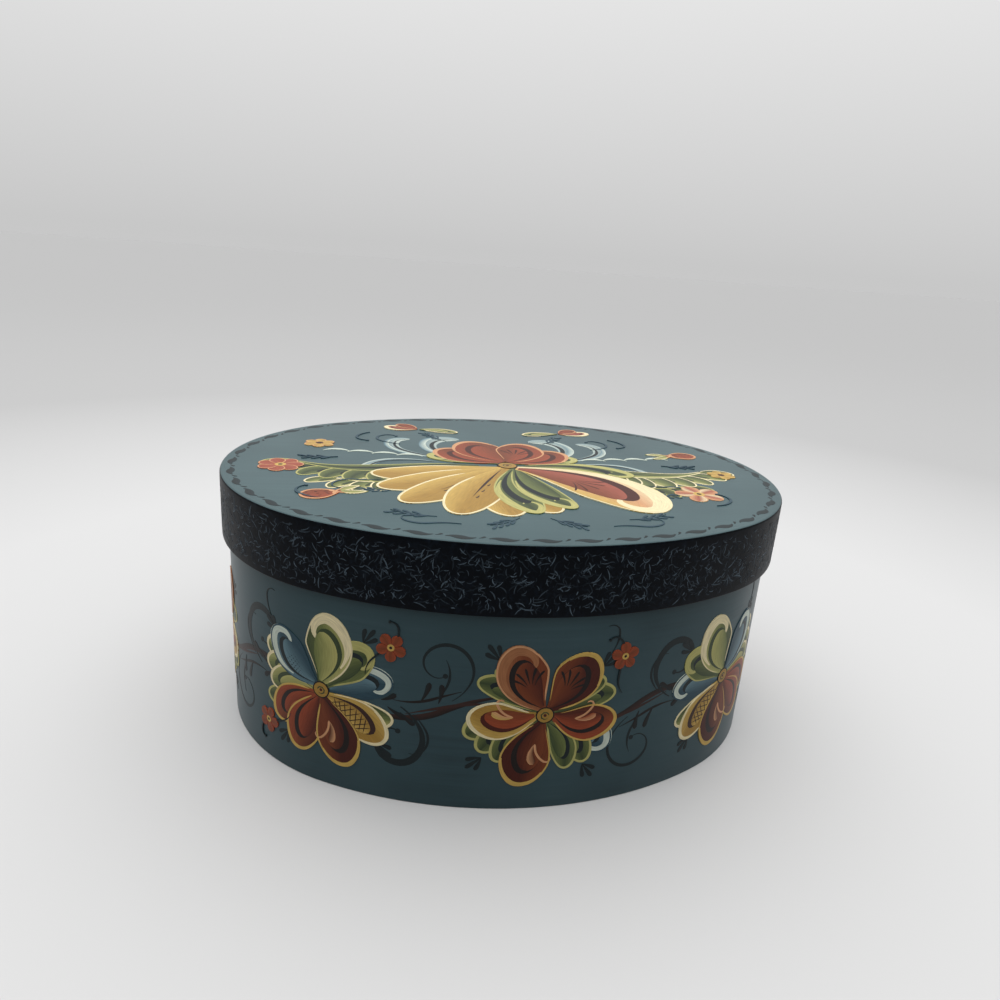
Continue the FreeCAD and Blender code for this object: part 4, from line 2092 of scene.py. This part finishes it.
@dataclass
class Stage:
    """The pale floor, the soft light and the camera of the view.

    Attributes:
        floor: the floor's colour near the box.
        far_floor_painted_shade: its colour further off.
        turning: distances at which the one gives way to the other, in metres.
        bounce: its colour as the box is lit by it.
        floor_half: half of the floor's width.
        overhead: strength of the light from straight above.
        aim_height: height that the lamp points at, in metres.
        camera_place: place of the camera.
        yaw: the camera's turn to the right.
        pitch: how far it looks down.
        roll: how far it is tilted.
        focal: its focal length.
        sensor: width of its sensor.
    """

    floor: str = "#CFCFCF"
    far_floor_painted_shade: str = "#B5B5B5"
    turning: Point = (0.4, 0.9)
    bounce: str = "#7C7C7C"
    floor_half: float = 12000.0
    overhead: float = 1.6
    aim_height: float = 0.07
    camera_place: Point3 = (-68.49, -394.01, 246.6)
    yaw: float = 0.16584
    pitch: float = 0.32075
    roll: float = 0.07384
    focal: float = 27.036
    sensor: float = 36.0

    def lay_floor(self) -> None:
        """Makes the wide matt floor, painted darker further from the box as painted shade where the light
        falls off.
        """
        half = self.floor_half
        edges = [(-half, -half, 0), (half, -half, 0), (half, half, 0), (-half, half, 0)]
        data = new_mesh("floor", edges, [(0, 1, 2, 3)])
        made = bpy.data.materials.new("matt_paper_floor")
        made.use_nodes = True
        tree = made.node_tree
        surface = tree.nodes["Principled BSDF"]
        place = add_node(tree, "ShaderNodeTexCoord").outputs["Object"]
        away = add_node(tree, "ShaderNodeVectorMath", {0: place}, operation="LENGTH").outputs["Value"]
        # The floor grows darker further from the box: painted shade where the light falls off.
        pale = mottled(tree, rgba(self.floor), rgba(self.far_floor_painted_shade), away, self.turning)
        ray = add_node(tree, "ShaderNodeLightPath").outputs["Is Diffuse Ray"]
        pair = {0: ray, 6: pale, 7: rgba(self.bounce)}
        colour = add_node(tree, "ShaderNodeMix", pair, data_type="RGBA")
        tree.links.new(colour.outputs[2], surface.inputs["Base Color"])
        surface.inputs["Roughness"].default_value = 0.75
        surface.inputs["Specular IOR Level"].default_value = 0.2
        data.materials.append(made)
        mesh_object("floor", data)

    def light(self) -> None:
        """Lights the box from all round, most from above and behind; the camera sees a plain pale room."""
        world = bpy.data.worlds.new("soft_room")
        bpy.context.scene.world = world
        world.use_nodes = True
        tree = world.node_tree
        tree.nodes.clear()
        white = {"Color": (1, 1, 1, 1)}
        ray = add_node(tree, "ShaderNodeLightPath")
        pair = {0: ray.outputs["Is Camera Ray"], 1: ray.outputs["Is Transmission Ray"]}
        seen = add_node(tree, "ShaderNodeMath", pair, operation="MAXIMUM").outputs[0]
        place = add_node(tree, "ShaderNodeTexCoord").outputs["Generated"]
        way = add_node(tree, "ShaderNodeSeparateXYZ", {0: place})
        slopes = []
        for axis, start, end, low, high in (
            ("Z", 0.0, 0.3, 0.575, 0.8),
            ("Y", -0.7, 0.25, 0.04, 0.62),
            ("Z", 0.3, 0.85, 0.0, 1.0),
        ):
            limits = {"From Min": start, "From Max": end, "To Min": low, "To Max": high}
            slope = add_node(tree, "ShaderNodeMapRange", {"Value": way.outputs[axis], **limits})
            slopes.append(slope.outputs[0])
        sky, around, height = slopes
        plain = add_node(tree, "ShaderNodeBackground", {**white, "Strength": sky}).outputs[0]
        strength = add_node(tree, "ShaderNodeMix", {0: height, 2: around, 3: self.overhead}).outputs[0]
        room = add_node(tree, "ShaderNodeBackground", {**white, "Strength": strength}).outputs[0]
        both = add_node(tree, "ShaderNodeMixShader", {0: seen, 1: room, 2: plain}).outputs[0]
        add_node(tree, "ShaderNodeOutputWorld", {"Surface": both})
        self.lamp("overhead", (0.05, 0.25, 1.4), 1.8, 5.0)

    def lamp(self, name: str, place: Point3, size: float, power: float) -> None:
        """Hangs a square soft lamp that faces the box.

        Args:
            name: its name.
            place: its place, in metres.
            size: its width, in metres.
            power: its power, in watts.
        """
        data = bpy.data.lights.new(name, "AREA")
        data.shape = "SQUARE"
        data.size = size
        data.energy = power
        made = bpy.data.objects.new(name, data)
        made.location = place
        aim = Vector((0, 0, self.aim_height)) - Vector(place)
        made.rotation_euler = aim.to_track_quat("-Z", "Y").to_euler()
        bpy.context.scene.collection.objects.link(made)

    def aim(self) -> None:
        """Sets the camera where the photograph was taken from."""
        flat = Matrix.Rotation(-self.yaw, 3, "Z")
        ahead = flat @ Vector((0, math.cos(self.pitch), -math.sin(self.pitch)))
        right = flat @ Vector((1, 0, 0))
        up = right.cross(ahead)
        rolled = right * math.cos(self.roll) + up * math.sin(self.roll)
        upright = up * math.cos(self.roll) - right * math.sin(self.roll)
        data = bpy.data.cameras.new("camera")
        data.lens = self.focal
        data.sensor_width = self.sensor
        made = bpy.data.objects.new("camera", data)
        place = Matrix((rolled, upright, -ahead)).transposed().to_4x4()
        place.translation = Vector(self.camera_place) * MM
        made.matrix_world = place
        bpy.context.scene.collection.objects.link(made)
        bpy.context.scene.camera = made

    def build(self) -> None:
        """Makes the whole stage."""
        bpy.context.scene.view_settings.view_transform = "Standard"
        self.lay_floor()
        self.light()
        self.aim()


@dataclass
class DressedBox:
    """The box itself: bands, boards, pegs and tacks in their finishes.

    Attributes:
        sizes: the box's sizes.
        nodes: the plain pieces by name.
        side_easing: radius of the side band's upper outer edge.
        lid_easing: radius of the lid band's upper outer edge.
        square: radius of a band's edge that meets a board.
    """

    sizes: BoxSizes
    nodes: dict[str, bpy.types.Object]
    side_easing: float = 0.8
    lid_easing: float = 1.3
    square: float = 0.02

    def bands(self) -> list[bpy.types.Object]:
        """Builds the two bent bands in place of the plain ones.

        Returns:
            The pieces.
        """
        s = self.sizes
        side = BentBand(
            "side_band_painted", s.side_lap, s.side_thickness, 0.0, s.rim, self.side_easing, s.coat
        )
        side.inner_foot = self.square
        lid = BentBand(
            "lid_band_painted", s.lid_lap, s.lid_thickness, s.lid_hem, s.lid_top, self.lid_easing, s.coat
        )
        lid.inner_easing = self.square
        ground, bare = GroundPaint().material(), BareWood().material()
        pieces = [side.mesh((ground, ground, bare))]
        pieces.append(lid.mesh((NightPaint().material(), LitLidPaint().material(), bare)))
        plain = (("box", "side_band", "painted_side"), ("lid", "lid_band", "painted_lid_band"))
        for piece, (body, node, slot) in zip(pieces, plain):
            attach(piece, body)
            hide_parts(node)
        return pieces

    def dress(self) -> None:
        """Gives each plain piece its finish."""
        # Split birch: the end grain drinks in dirt and oil, so the pegs look darker than the bands.
        peg = BareWood("split_birch_peg", pale="#A98A5E", dark="#7F6038").material()
        finishes = {
            "bottom_board": BOARD.material(),
            "lid_board": LidBoardPaint().material(),
            "bottom_pegs": peg,
            "lid_pegs": peg,
            "side_lap_tacks": GroundPaint().material(),
            "lid_lap_tacks": NightPaint().material(),
        }
        for node, finish in finishes.items():
            slots = self.nodes[node].data.materials
            slots.clear()
            slots.append(finish)


def corners(box: tuple[Vector, Vector]) -> list[list[float]]:
    """Returns a box's two corners as plain lists."""
    return [[float(v) for v in corner] for corner in box]


def main() -> None:
    """Builds the dressed box and its stage, and reports each piece."""
    logging.basicConfig(level=logging.INFO, format="%(name)s: %(message)s")
    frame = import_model()
    sizes = BoxSizes()
    Stage().build()
    box = DressedBox(sizes, frame["nodes"])
    box.dress()
    made = box.bands()
    made += WallFrieze(sizes).build()
    made += LidBouquet(sizes).build()
    made += [LidBorder(sizes).build(), BandFlecks(sizes).build()]
    for piece in made:
        LOG.info("%s: %d faces", piece.name, len(piece.data.polygons))


if __name__ == "__main__":
    main()
